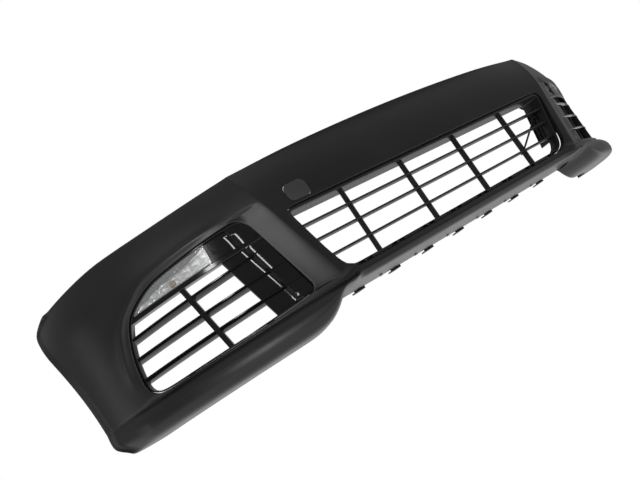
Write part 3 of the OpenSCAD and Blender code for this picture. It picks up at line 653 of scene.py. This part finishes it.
def cage():
    """The skin's outer face, with the return walls, as an open mesh that subdivision rounds."""
    verts = [p for column in GRID for p in column]
    faces = [
        (i * ROWS + r, i * ROWS + r + 1, (i + 1) * ROWS + r + 1, (i + 1) * ROWS + r)
        for i in range(len(GRID) - 1)
        for r in range(ROWS - 1)
        if not is_open(i, r)
    ]
    soft = set()
    for k, loop in enumerate(LOOPS):
        front = [i * ROWS + r for i, r in loop]
        back = list(range(len(verts), len(verts) + len(loop)))
        verts.extend([tuple(np.array(GRID[i][r]) + RETURN_DEPTH * OPENINGS[k][2]) for i, r in loop])
        for j in range(len(loop)):
            m = (j + 1) % len(loop)
            faces.append((front[j], back[j], back[m], front[m]))
            soft.add(frozenset((front[j], front[m])))
    for i in range(len(GRID) - 1):
        soft.add(frozenset((i * ROWS + ROW_TOP, (i + 1) * ROWS + ROW_TOP)))
    for column in (COL_ARCH, COL_RIDGE, COL_FLARE):
        for i in (COL_LAST - column, COL_LAST + column):
            last = ROW_CLOSE if column == COL_FLARE else ROWS - 1
            first = ROW_TOP if column == COL_FLARE else 0
            soft.update(frozenset((i * ROWS + r, i * ROWS + r + 1)) for r in range(first, last))
    return verts, faces, soft


def outside_side(x, z):
    """Distance outside the side opening's outline, measured to its top and its outer side."""
    r = SIDE_RADII[1]
    qx = max(0, x - side_outer_x(min(max(z, SIDE_WIDEST_Z), SIDE_OUTER_TOP)) + r)
    qz = max(0, z - side_top_z(min(x, 770)) + r)
    return math.hypot(qx, qz) - r


def relief(x, z):
    """The raised bead round a side opening, and the recessed pillar inboard of it."""
    bead = BEAD_HEIGHT * math.exp(-(((outside_side(x, z) - BEAD_FROM) / BEAD_SPREAD) ** 2))
    bead *= smooth(*BEAD_FADE_Z, z) * smooth(*BEAD_FADE_X, x)
    across = (x - ridge_x(z)) / (side_inner_x(z) - ridge_x(z))
    edge = side_top_z(x) + PILLAR_EDGE
    pillar = PILLAR_RECESS * smooth(0, 1, across) * smooth(*PILLAR_FADE_X, x)
    return bead - pillar * smooth(edge + PILLAR_STEP, edge - PILLAR_STEP, z)


def prism(outline, place, front, back):
    """A solid along Y over an outline in x and z, in a frame that place() puts in the part's."""
    return loft([[place(x, y, z) for x, z in outline] for y in (front, back)], capped=True)


def rounded_outline(width, height, radius, steps=8):
    """A rectangle with round corners, about the origin."""
    points = []
    for k, (sx, sz) in enumerate(((1, 1), (-1, 1), (-1, -1), (1, -1))):
        for t in np.linspace(0, math.pi / 2, steps + 1):
            angle = t + k * math.pi / 2
            points.append((
                sx * (width / 2 - radius) + radius * math.cos(angle),
                sz * (height / 2 - radius) + radius * math.sin(angle),
            ))
    return points


# The tow cover lies in the face, which leans back at its height
TOW_TILT = math.atan((setback(TOW_AT[1] - 20) - setback(TOW_AT[1] + 20)) / 40)
TOW_FRONT = face_y(TOW_AT[0], TOW_AT[1]) - setback(TOW_AT[1])


def tow_place(x, y, z):
    c, s = math.cos(TOW_TILT), math.sin(TOW_TILT)
    return TOW_AT[0] + x, TOW_FRONT + y * c + z * s, TOW_AT[1] - y * s + z * c


TOP_HOLES, TOP_HOLE_Y, HOLE_R = (-200, -100, 0, 100, 200), 44, 4
SCREW_PLACES, SCREW_Y, SCREW_HOLE_R = [56.5 * k for k in (-5, -3, -1, 1, 3, 5)], 73, 2.06


def skin_holes():
    """Cutters for the top flange's holes, the arch holes, the valance's screws and the tow cover."""
    holes = [rod((x, TOP_HOLE_Y, TOP_Z - 20), (x, TOP_HOLE_Y, TOP_Z + 10), HOLE_R) for x in TOP_HOLES]
    for side in (1, -1):
        for r in (ROW_OPEN + 3, ROW_OPEN + 6):
            rim, last = np.array(HALF[COL_ARCH][r]), np.array(HALF[COL_LAST][r])
            along = np.array(HALF[COL_ARCH][r + 1]) - np.array(HALF[COL_ARCH][r - 1])
            axis = 15 * unit(np.cross(last - rim, along))
            centre = (rim + last) / 2
            holes.append(rod((centre - axis) * (side, 1, 1), (centre + axis) * (side, 1, 1), HOLE_R))
    holes += [rod((x, SCREW_Y, 30), (x, SCREW_Y, 55), SCREW_HOLE_R, sides=16) for x in SCREW_PLACES]
    gap = 2 * TOW_GAP
    outline = rounded_outline(TOW_SIZE[0] + gap, TOW_SIZE[1] + gap, TOW_ROUND + TOW_GAP)
    return holes + [prism(outline, tow_place, -30, 30)]


def make_skin():
    """Cage, rounded edges, subdivision, relief, thickness, holes: in that order."""
    verts, faces, soft = cage()
    mesh = bpy.data.meshes.new("bumper_skin_look")
    mesh.from_pydata([tuple(v) for v in to_frame(verts)], [], faces)
    bm = bmesh.new()
    bm.from_mesh(mesh)
    chosen = [e for e in bm.edges if frozenset(v.index for v in e.verts) in soft]
    bmesh.ops.bevel(bm, geom=chosen, offset=EDGE_RADIUS * MM, offset_type="OFFSET", segments=2,
                    profile=0.5, affect="EDGES", clamp_overlap=True)
    bm.to_mesh(mesh)
    bm.free()
    skin = add_object("bumper_skin_look", mesh)
    mesh.materials.append(SKIN)
    for polygon in mesh.polygons:
        polygon.use_smooth = True
    subdivision = skin.modifiers.new("subdivision", "SUBSURF")
    subdivision.levels = 2
    subdivision.render_levels = 2
    subdivision.boundary_smooth = "PRESERVE_CORNERS"
    baked(skin)
    for v in skin.data.vertices:
        x, z = abs(v.co.x) / MM, v.co.z / MM
        if not (RELIEF_X[0] <= x <= RELIEF_X[1] and RELIEF_Z[0] <= z <= RELIEF_Z[1]):
            continue
        d = relief(x, z)
        if abs(d) > 0.001:
            out = wall_normal(x, max(z, RIDGE_FOOT[1]))
            v.co.x += math.copysign(out[0] * d * MM, v.co.x)
            v.co.y += out[1] * d * MM
    wall = skin.modifiers.new("wall", "SOLIDIFY")
    wall.thickness = SKIN_WALL * MM
    wall.offset = -1
    wall.use_even_offset = False
    wall.use_quality_normals = True
    baked(skin)
    cut(skin, skin_holes())
    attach(skin, "root")
    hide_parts("bumper_skin")


# ---- the middle grille ----
GRILLE_FRONT, GRILLE_BACK, SHROUD_FRONT, SHROUD_BACK = 8, 36, 35, 68
WINDOW_PITCH, WINDOW_OFFSET, WINDOW_HALF = 48.75, 11.5, 8
# The shroud stops at its foot; its side walls have level ribs at some heights, upright ones at some depths
SHROUD_FOOT, RIB_HEIGHTS, RIB_DEPTHS, RIB_ENDS = 110, (126, 148, 170, 192, 214), (38, 51, 64.6), (124, 216)
SLAT_HEIGHTS = (202, 163.5, 122)
FIN_PLACES = (-282, -94, 94, 282)
HOOK_PLACES = (-376, -188, 0, 188, 376)


def mid_ring(inset, y):
    """The middle opening's outline moved in, at one depth."""
    ring = loop_ring(0, inset)
    ring[:, 1] = y
    return ring


def nosed_section(front, back, thick):
    """A bar's section, (depth, height): a round nose and a slightly rounded tail."""
    half = thick / 2
    nose = [(front + half - half * math.cos(a), half * math.sin(a)) for a in np.linspace(-1.45, 1.45, 9)]
    tail = [(back - 0.6, half), (back, half - 0.6), (back, 0.6 - half), (back - 0.6, -half)]
    return nose + tail


def make_centre_grille():
    front = GRILLE_FRONT
    section = ((1, GRILLE_BACK), (1, front + 1.6), (1.4, front + 0.6), (2.4, front),
               (6.6, front), (7.6, front + 0.6), (8, front + 1.6), (8, GRILLE_BACK))
    band = add_piece("centre_grille_frame", loft([mid_ring(i, y) for i, y in section], hooped=True),
                     GRILLE, "grille_black", replaces=("centre_grille",))
    centres = [WINDOW_PITCH * k + WINDOW_OFFSET * s for k in range(-7, 8, 2) for s in (-1, 1)]
    cut(band, [
        block(x - WINDOW_HALF, x + WINDOW_HALF, 0, 40, MID_BOTTOM + 2.3, MID_BOTTOM + 6.2)
        for x in centres
    ])
    slat = nosed_section(12, GRILLE_BACK, 4.6)
    for number, z in enumerate(SLAT_HEIGHTS, 1):
        end = mid_edge_x(z) - 4.5
        stations = np.linspace(-end, end, 13)
        rings = [[(x, y, z + h) for y, h in slat] for x in stations]
        add_piece(f"centre_grille_slat_{number}", loft(rings, capped=True), GRILLE, "grille_black")
    fin = nosed_section(19, GRILLE_BACK - 0.4, 4)
    for number, x in enumerate(FIN_PLACES, 1):
        rings = [[(x + h, y, z) for y, h in fin] for z in (MID_BOTTOM + 5, MID_TOP - 5)]
        add_piece(f"centre_grille_fin_{number}", loft(rings, capped=True), GRILLE, "grille_black")
    make_shroud()
    for number, x in enumerate(HOOK_PLACES, 1):
        top = block(x - 8, x + 8, 19, 23, MID_TOP - 3, MID_TOP + 2.5)
        low = block(x * 0.85 - 8, x * 0.85 + 8, 19, 23, MID_BOTTOM - 2.5, MID_BOTTOM + 3)
        add_piece(f"centre_grille_hooks_{number}", joined([top, low]), GRILLE, "grille_black", bevel=0.5)


def make_shroud():
    """The thin wall behind the frame, open below, with pockets between ribs on its side walls."""
    back = SHROUD_BACK
    section = ((4, SHROUD_FRONT), (6.5, SHROUD_FRONT), (6.5, back - 0.6),
               (6.1, back), (4.4, back), (4, back - 0.6))
    rings = [mid_ring(i, y) for i, y in section]
    heights = rings[0][:, 2]
    count = len(heights)
    start = next(j for j in range(count) if heights[j - 1] <= SHROUD_FOOT < heights[j])
    order = [j % count for j in range(start, start + count) if heights[j % count] > SHROUD_FOOT]
    stations = [[ring[j] for ring in rings] for j in order]
    add_piece("centre_grille_shroud", loft(stations, capped=True), GRILLE, "grille_black")
    ribs = []
    for side in (1, -1):
        for z in RIB_HEIGHTS:
            x = mid_edge_x(z)
            ribs.append(block(side * (x - 11), side * (x - 6), RIB_DEPTHS[0], 66, z - 0.7, z + 0.7))
        low, high = RIB_ENDS
        corners = [(mid_edge_x(z) - d, z) for z, d in ((low, 11), (low, 6), (high, 6), (high, 11))]
        for y in RIB_DEPTHS:
            ribs.append(loft([[(side * x, yy, z) for x, z in corners] for yy in (y, y + 1.4)], capped=True))
    for number, rib in enumerate(ribs, 1):
        add_piece(f"centre_grille_rib_{number}", rib, GRILLE, "grille_black", bevel=0.25)


STAY_Y, STAY_R = 39, 2.5


def make_stay():
    """A thin forked rod behind the outer bay, with a foot on the back of the outer fin."""
    y = STAY_Y
    foot, fork, tips = (287, y, 119), (385, y, 176), ((431, y, 206.6), (433, y, 192.4))
    solids = [rod(foot, fork, STAY_R, sides=18)] + [rod(fork, tip, STAY_R, sides=18) for tip in tips]
    solids.append(block(foot[0] - 5, foot[0] + 5, GRILLE_BACK - 1, y + 2, foot[2] - 1.5, foot[2] + 4))
    names = ("bar", "upper_arm", "lower_arm", "foot")
    for name, solid in zip(names, solids):
        add_piece(f"grille_stay_{name}", solid, GRILLE, "grille_black", bevel=0.3,
                  replaces=("grille_stay",) if name == "bar" else ())


# ---- side grilles and lamps, in a frame turned to face the side opening ----
# The face is an arc in the plan: its centre, radius and the grille's depth behind it
FACE_CENTRE, FACE_R, GRILLE_DEEP = (615, 474), 718, 24
FACE_BACK = FACE_R - GRILLE_DEEP
# Bars: height at this place along the grille, and fall outwards in degrees
TURN_AT = 615
TOP_BAR = (222, 1.7)
BLADES = ((190.5, 2.5), (149.5, 1.2), (108, 1))
DIVIDER_HALF, DIVIDER_LEAN, DIVIDER_ENDS = 5.5, math.radians(10), (69.5, 221)
# The blank panel: slope of its outer edge, and where its sunk strip begins, as a share of its width
PANEL_SLOPE, STRIP_FROM, STRIP_EDGE, STRIP_SINK = math.radians(15), 0.45, 0.03, 6.5
# Snap hooks as boxes: two x, two depths, two heights
SIDE_HOOKS = (
    (484, 500, -219, -215, SIDE_TOP - 4.5, SIDE_TOP + 2),
    (580, 596, -228, -224, SIDE_TOP - 8.5, SIDE_TOP - 2.5),
    (520, 536, -227, -223, SIDE_BOTTOM - 2, SIDE_BOTTOM + 5),
    (700, 716, -227, -223, SIDE_BOTTOM - 2, SIDE_BOTTOM + 5),
    (792, 799, -210, -206, 100, 116),
    (427, 437, -206, -202, 148, 160),
)
BOSS_AT, BOSS_DEPTHS, BOSS_R = (548, 247), (-214, -235), 4.5
LAMP_END, LAMP_AXIS, LAMP_DEPTH = 561, (656, 245), 62
REAR = FACE_CENTRE[1] - (FACE_R - LAMP_DEPTH)
# Reflector facets: a corner of their grid, their size, and how deep each one is pressed
FACET_AT, FACET_SIZE, FACET_DEPTH, FACET_FLUTE = (562, 225), (25, 19), 7.5, 1.6
BULB_HOLE, LENS_FLUTE, LENS_FLUTE_RUN = 8, 0.45, 9.0
# (radius, depth) round the lamp's axis
LAMP_COLLAR = (
    (10.4, -193.2), (9.0, -194.2), (7.6, -193.8), (7.2, -192.5), (7.2, -190.2), (10.4, -190.2),
)
BULB_GLASS = (
    (0.0, -208.5), (2.6, -208.0), (4.7, -206.4), (6.1, -203.6), (6.5, -200.8),
    (6.5, -190), (6.2, -186), (5.6, -184.4), (0.0, -184.2),
)


def from_side(x, y, z):
    """A point of the side grille's frame, in the part's."""
    c, s = math.cos(SIDE_TILT), math.sin(SIDE_TILT)
    return x * c - y * s, x * s + y * c, z


def turned(solid):
    """A solid drawn in the side grille's frame, put in the part's."""
    verts, faces = solid
    return [from_side(*p) for p in verts], faces


def on_arc(x, z, r):
    """A point on an arc about the face's centre."""
    return from_side(x, FACE_CENTRE[1] - math.sqrt(r * r - (x - FACE_CENTRE[0]) ** 2), z)


def side_ring(inset, steps=4):
    """The side opening's outline moved in: distance along the chord, and height."""
    ring = loop_ring(1, inset, steps)
    c, s = math.cos(SIDE_TILT), math.sin(SIDE_TILT)
    return np.stack([ring[:, 0] * c + ring[:, 1] * s, ring[:, 2]], 1)


def bar_z(line, x):
    """Height of a sloping bar."""
    return line[0] - (x - TURN_AT) * math.tan(math.radians(line[1]))


def bar_ends(line, outline):
    """Where a sloping bar meets the outline, inner end and outer end."""
    ends = []
    for pick, guess in ((0, 480), (-1, 790)):
        x = guess
        for _ in range(6):
            x = crossings(outline, 1, bar_z(line, x))[pick]
        ends.append(x)
    return ends


def bar_solid(line, section, outline, steps=28):
    """A bar from edge to edge of the outline, over a section of (radius, height) points."""
    low, high = bar_ends(line, outline)
    stations = np.linspace(low, high, steps)
    return loft([[on_arc(x, bar_z(line, x) + h, r) for r, h in section] for x in stations], capped=True)


def blade_section():
    """(radius, height): a bright rounded front edge, then a blade that falls to the back."""
    front, back = FACE_R - 1.1, FACE_BACK + 1.2
    return [
        (front - 1.2, 6.3), (front - 0.3, 5.9), (front, 5.1), (front - 0.2, 3.6), (front - 1.0, 2.9),
        (back + 1.5, -6.2), (back + 0.4, -6.1), (back, -5.4), (back + 0.1, -3.9), (back + 1.0, -3.2),
    ]


def head_section():
    """(radius, height) of the bar that carries the lamp."""
    front, back = FACE_R - 0.6, FACE_BACK + 0.7
    return [(front, 3.6), (front - 1.4, 5), (back + 0.6, 5), (back, 4.4), (back, -4.4), (back + 0.6, -5),
            (front - 1.4, -5), (front, -3.6)]


def divider_section():
    front, back, half = FACE_R - 2, FACE_BACK + 2.2, DIVIDER_HALF
    return [
        (front, 1 - half), (front - 1, -half), (back + 1, -half), (back, 1 - half),
        (back, half - 1), (back + 1, half), (front - 1, half), (front, half - 1),
    ]


def panel_edge(z):
    """The blank panel's outer edge, which leans outwards."""
    return 529 + (z - 147) * math.tan(PANEL_SLOPE)


def panel_solid(low, high, right, rows, outline):
    """Blank panel on the inner side: a raised field by the frame, then a sunk strip that the blades cross."""
    edge = (STRIP_FROM - STRIP_EDGE, STRIP_FROM + STRIP_EDGE)
    across = (0, 0.03, 0.12, 0.25, *np.linspace(*edge, 6), 0.6, 0.75, 0.9, 1)
    front, back = [], []
    for z in np.linspace(low, high, rows):
        left = crossings(outline, 1, z)[0]
        places = [mix(left, right(z), u) for u in across]
        sunk = [STRIP_SINK * smooth(*edge, u) for u in across]
        front.append([on_arc(x, z, FACE_R - 2.2 - d) for x, d in zip(places, sunk)])
        back.append([on_arc(x, z, FACE_R - 6 - STRIP_SINK) for x in places])
    return slab(front, back)


def make_side_grille(name, side):
    def add(part, solid, **more):
        return add_piece(f"{name}_{part}", solid, GLOSS, "gloss_black", side=side, **more)

    outline = side_ring(2.4)
    face, back = FACE_R, FACE_BACK
    section = ((1.2, back), (1.2, face - 1.2), (1.6, face - 0.3), (2.3, face),
               (3.2, face - 0.1), (4.0, face - 0.8), (4.2, face - 1.6), (4.2, back))
    rings = [[on_arc(x, z, r) for x, z in side_ring(i)] for i, r in section]
    add("frame", loft(rings, hooped=True), replaces=(name,))
    for number, line in enumerate(BLADES, 1):
        add(f"blade_{number}", bar_solid(line, blade_section(), outline))
    add("head", bar_solid(TOP_BAR, head_section(), outline))
    post = divider_section()
    rings = []
    for z in np.linspace(*DIVIDER_ENDS, 20):
        x = TURN_AT + 12 + (z - 140) * math.tan(DIVIDER_LEAN)
        rings.append([on_arc(x + h, z, r) for r, h in post])
    add("divider", loft(rings, capped=True))
    add("panel_lower", panel_solid(71.5, 220, panel_edge, 30, outline))
    add("panel_upper", panel_solid(218.5, 274.5, lambda z: LAMP_END - 1.0, 16, outline))
    wall = []
    for z in np.linspace(74, 218, 24):
        corners = ((-2.6, face - 6), (-0.2, face - 6), (1.5, back + 4), (-1, back + 4))
        wall.append([on_arc(panel_edge(z) + d, z, r) for d, r in corners])
    add("panel_wall", loft(wall, capped=True))
    add("hooks", joined([turned(block(*hook)) for hook in SIDE_HOOKS]), bevel=0.4)
    ends = [(BOSS_AT[0], y, BOSS_AT[1]) for y in BOSS_DEPTHS]
    add("screw_boss", turned(rod(*ends, BOSS_R)), bevel=0.3)


def lamp_grid(inset, first, columns, rows, place, rise):
    """Points over the lamp's window: between the head bar and the outline, from its inner end outwards."""
    outline = side_ring(inset)
    line = (TOP_BAR[0] + rise, TOP_BAR[1])
    last = first
    while crossings(outline, 0, last + 1)[-1] - bar_z(line, last + 1) > 1.5:
        last += 1
    grid = []
    for x in np.linspace(first, last, columns):
        top, low = crossings(outline, 0, x)[-1], bar_z(line, x)
        grid.append([place(x, z) for z in np.linspace(low, top, rows)])
    return grid


def lens_front(x, z):
    return on_arc(x, z, FACE_R - 2)


def lens_back(x, z):
    flute = LENS_FLUTE * abs(math.sin(math.pi * (x - LAMP_END) / LENS_FLUTE_RUN))
    return on_arc(x, z, FACE_R - 4.9 + flute)


def reflector_depth(x, z):
    """The bowl's depth with a pillow on each facet, no nearer the lens than its edge allows."""
    r2 = (x - LAMP_AXIS[0]) ** 2 + (z - LAMP_AXIS[1]) ** 2
    u, v = (2 * ((p - at) / size % 1) - 1 for p, at, size in zip((x, z), FACET_AT, FACET_SIZE))
    y = REAR - 9 - r2 / 230 - (1 - u * u) * (FACET_DEPTH * (1 - v * v) + FACET_FLUTE)
    front = FACE_CENTRE[1] - math.sqrt((FACE_R - 8.5) ** 2 - (x - FACE_CENTRE[0]) ** 2)
    return max(y, front)


def make_lamp(name, side, body):
    """A fluted lens, a faceted reflector with a hole for the bulb, the bulb's collar and its glass."""
    lens = [lamp_grid(4.6, LAMP_END, 120, 12, face, 5.4) for face in (lens_front, lens_back)]
    add_piece(f"lamp_lens_{name}_look", slab(*lens), LENS, "lens_clear", side=side,
              replaces=(f"lamp_lens_{name}",))
    front = lamp_grid(7.4, LAMP_END + 3, 110, 26, lambda x, z: (x, reflector_depth(x, z), z), 8.4)
    back = [[(p[0], p[1] + 1.2, p[2]) for p in row] for row in front]

    def keep(i, j):
        x, z = front[i][j][0], front[i][j][2]
        return math.hypot(x - LAMP_AXIS[0], z - LAMP_AXIS[1]) > BULB_HOLE

    add_piece(f"lamp_reflector_{name}_look", turned(slab(front, back, keep)), SILVER,
              "reflector_silver", side=side, replaces=(f"lamp_reflector_{name}",))
    add_piece(f"lamp_collar_{name}", lathe(LAMP_COLLAR, hooped=True), SILVER, "reflector_silver", side=side)
    add_piece(f"lamp_bulb_{name}_glass", lathe(BULB_GLASS), AMBER, "bulb_amber", body=body, side=side,
              replaces=(f"lamp_bulb_{name}",))


def lathe(profile, hooped=False, sides=40):
    """A solid turned about the lamp's axis from (radius, depth) points."""
    turns = [2 * math.pi * k / sides for k in range(sides)]
    x, z = LAMP_AXIS
    rings = []
    for radius, y in profile:
        r = max(radius, 0.05)
        rings.append([from_side(x + r * math.cos(t), y, z + r * math.sin(t)) for t in turns])
    return loft(rings, capped=not hooped, hooped=hooped)


# ---- tow-eye cover ----
# (inset, depth) from the back of the cap over its rounded edge to its nearly flat front
TOW_PROFILE = (
    (0.5, 3.0), (0.0, 2.6), (0.0, 1.2), (0.25, 0.62), (0.8, 0.3), (1.8, 0.2), (4, 0.14),
    (8, 0.07), (12, 0.02),
)


def make_tow_cover():
    """A cap and two barbed legs that snap behind the skin."""
    w, h = TOW_SIZE
    rings = []
    for inset, y in TOW_PROFILE:
        outline = rounded_outline(w - 2 * inset, h - 2 * inset, TOW_ROUND - inset)
        rings.append([tow_place(x, y, z) for x, z in outline])
    add_piece("tow_eye_cover_cap", loft(rings, capped=True), COVER, "cover_black", body="tow_cover",
              replaces=("tow_eye_cover",))
    barb = ((-1, 2.9), (-1, 12), (1, 12), (2.4, 8.4), (1, 8), (1, 2.9))
    for number, out in enumerate((-1, 1), 1):
        rings = [[tow_place(out * (18 + d), y, z) for d, y in barb] for z in (-6, 6)]
        add_piece(f"tow_eye_cover_leg_{number}", loft(rings, capped=True), COVER, "cover_black",
                  body="tow_cover")


# ---- CAD pieces that stay ----
def finish_cad(node, finish, bevel):
    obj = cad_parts[node]
    obj.data.materials.clear()
    obj.data.materials.append(finish)
    weld = obj.modifiers.new("weld", "WELD")
    weld.merge_threshold = 0.000002
    add_bevel(obj, bevel)


make_skin()
make_centre_grille()
make_stay()
make_tow_cover()
for side_name, sign in (("left", 1), ("right", -1)):
    make_side_grille(f"side_grille_{side_name}", sign)
    make_lamp(side_name, sign, f"bulb_unit_{side_name}")
    finish_cad(f"lamp_housing_{side_name}", HOUSING, 0.6)
    finish_cad(f"bulb_holder_{side_name}", HOLDER, 0.4)
    finish_cad(f"holder_seal_{side_name}", RUBBER, 0.3)
finish_cad("lower_valance", GRILLE, 0.5)
finish_cad("valance_screws", ZINC, 0.25)
finish_cad("lamp_screws", ZINC, 0.25)


# ---- floor, light and camera ----
ROOM_LIGHT, CEILING_LIGHT, FLOOR_GLOW = 0.28, 0.42, 0.66
FLOOR_HALF, FLOOR_Z = 3.4, -0.5
# Soft boxes: name, place, what they face, size, watts
LIGHTS = (
    ("key", (-2.04, -2.81, 0.8), (-0.5, -0.15, 0.2), (0.25, 1.2), 28),
    ("upper", (-2.2, -1.8, 2.2), (-0.64, -0.1, 0.245), (1.2, 0.8), 3),
    ("side", (-2.84, 0.42, 0.1), (-0.9, 0.1, 0.2), (0.35, 1.4), 3.5),
    ("overhead", (-0.2, -0.6, 2.6), (-0.1, -0.1, 0.2), (2.6, 1.4), 3),
)
# The camera's turn is an axis whose length is the angle
CAMERA_PLACE, CAMERA_LENS = (-1.187, -1.3411, -0.0536), 39.386
CAMERA_TURN = (1.18316363, -0.78470246, 0.00887196)


def add_floor():
    """A pale floor, below the eye line: the camera looks up at the part from under its sole."""
    m = bpy.data.materials.new("floor_pale")
    m.use_nodes = True
    shader = m.node_tree.nodes["Principled BSDF"]
    put(shader, {"Base Color": (0.9, 0.9, 0.9, 1), "Roughness": 0.9})
    put(shader, {"Emission Color": (1, 1, 1, 1), "Emission Strength": FLOOR_GLOW})
    mesh = bpy.data.meshes.new("floor")
    corners = [(x * FLOOR_HALF, y * FLOOR_HALF, FLOOR_Z) for x, y in ((-1, -1), (1, -1), (1, 1), (-1, 1))]
    mesh.from_pydata(corners, [], [(0, 1, 2, 3)])
    mesh.materials.append(m)
    add_object("floor", mesh)


def add_light(name, place, target, size, power):
    light = bpy.data.lights.new(name, "AREA")
    light.shape = "RECTANGLE"
    light.size, light.size_y = size
    light.energy = power
    obj = add_object(name, light)
    obj.location = place
    obj.rotation_euler = (Vector(target) - Vector(place)).to_track_quat("-Z", "Y").to_euler()


def add_world():
    """White to the eye; as light, a dim room under a brighter ceiling."""
    world = bpy.data.worlds.new("studio")
    world.use_nodes = True
    tree = world.node_tree
    place = tree.nodes.new("ShaderNodeTexCoord")
    split = tree.nodes.new("ShaderNodeSeparateXYZ")
    tree.links.new(place.outputs["Generated"], split.inputs["Vector"])
    height = tree.nodes.new("ShaderNodeMapRange")
    height.interpolation_type = "SMOOTHSTEP"
    put(height, {"From Min": -0.05, "From Max": 0.95, "To Min": ROOM_LIGHT, "To Max": CEILING_LIGHT})
    tree.links.new(split.outputs["Z"], height.inputs["Value"])
    light = tree.nodes["Background"]
    put(light, {"Color": (1, 1, 1, 1)})
    tree.links.new(height.outputs["Result"], light.inputs["Strength"])
    paper = tree.nodes.new("ShaderNodeBackground")
    put(paper, {"Color": (1, 1, 1, 1)})
    seen = tree.nodes.new("ShaderNodeLightPath")
    choose = tree.nodes.new("ShaderNodeMixShader")
    tree.links.new(seen.outputs["Is Camera Ray"], choose.inputs["Fac"])
    tree.links.new(light.outputs["Background"], choose.inputs[1])
    tree.links.new(paper.outputs["Background"], choose.inputs[2])
    tree.links.new(choose.outputs["Shader"], tree.nodes["World Output"].inputs["Surface"])
    bpy.context.scene.world = world


def add_camera():
    """The eye is low and off the right-hand end, and the camera is rolled."""
    turn = Vector(CAMERA_TURN)
    to_camera = Matrix.Rotation(turn.length, 3, turn)
    right, down, ahead = to_camera
    camera = bpy.data.cameras.new("camera")
    camera.sensor_width = 36
    camera.lens = CAMERA_LENS
    obj = add_object("camera", camera)
    axes = Matrix((right, -down, -ahead)).transposed()
    obj.matrix_world = Matrix.Translation(CAMERA_PLACE) @ axes.to_4x4()
    bpy.context.scene.camera = obj


add_floor()
add_world()
for soft_box in LIGHTS:
    add_light(*soft_box)
add_camera()
bpy.context.scene.view_settings.view_transform = "Standard"
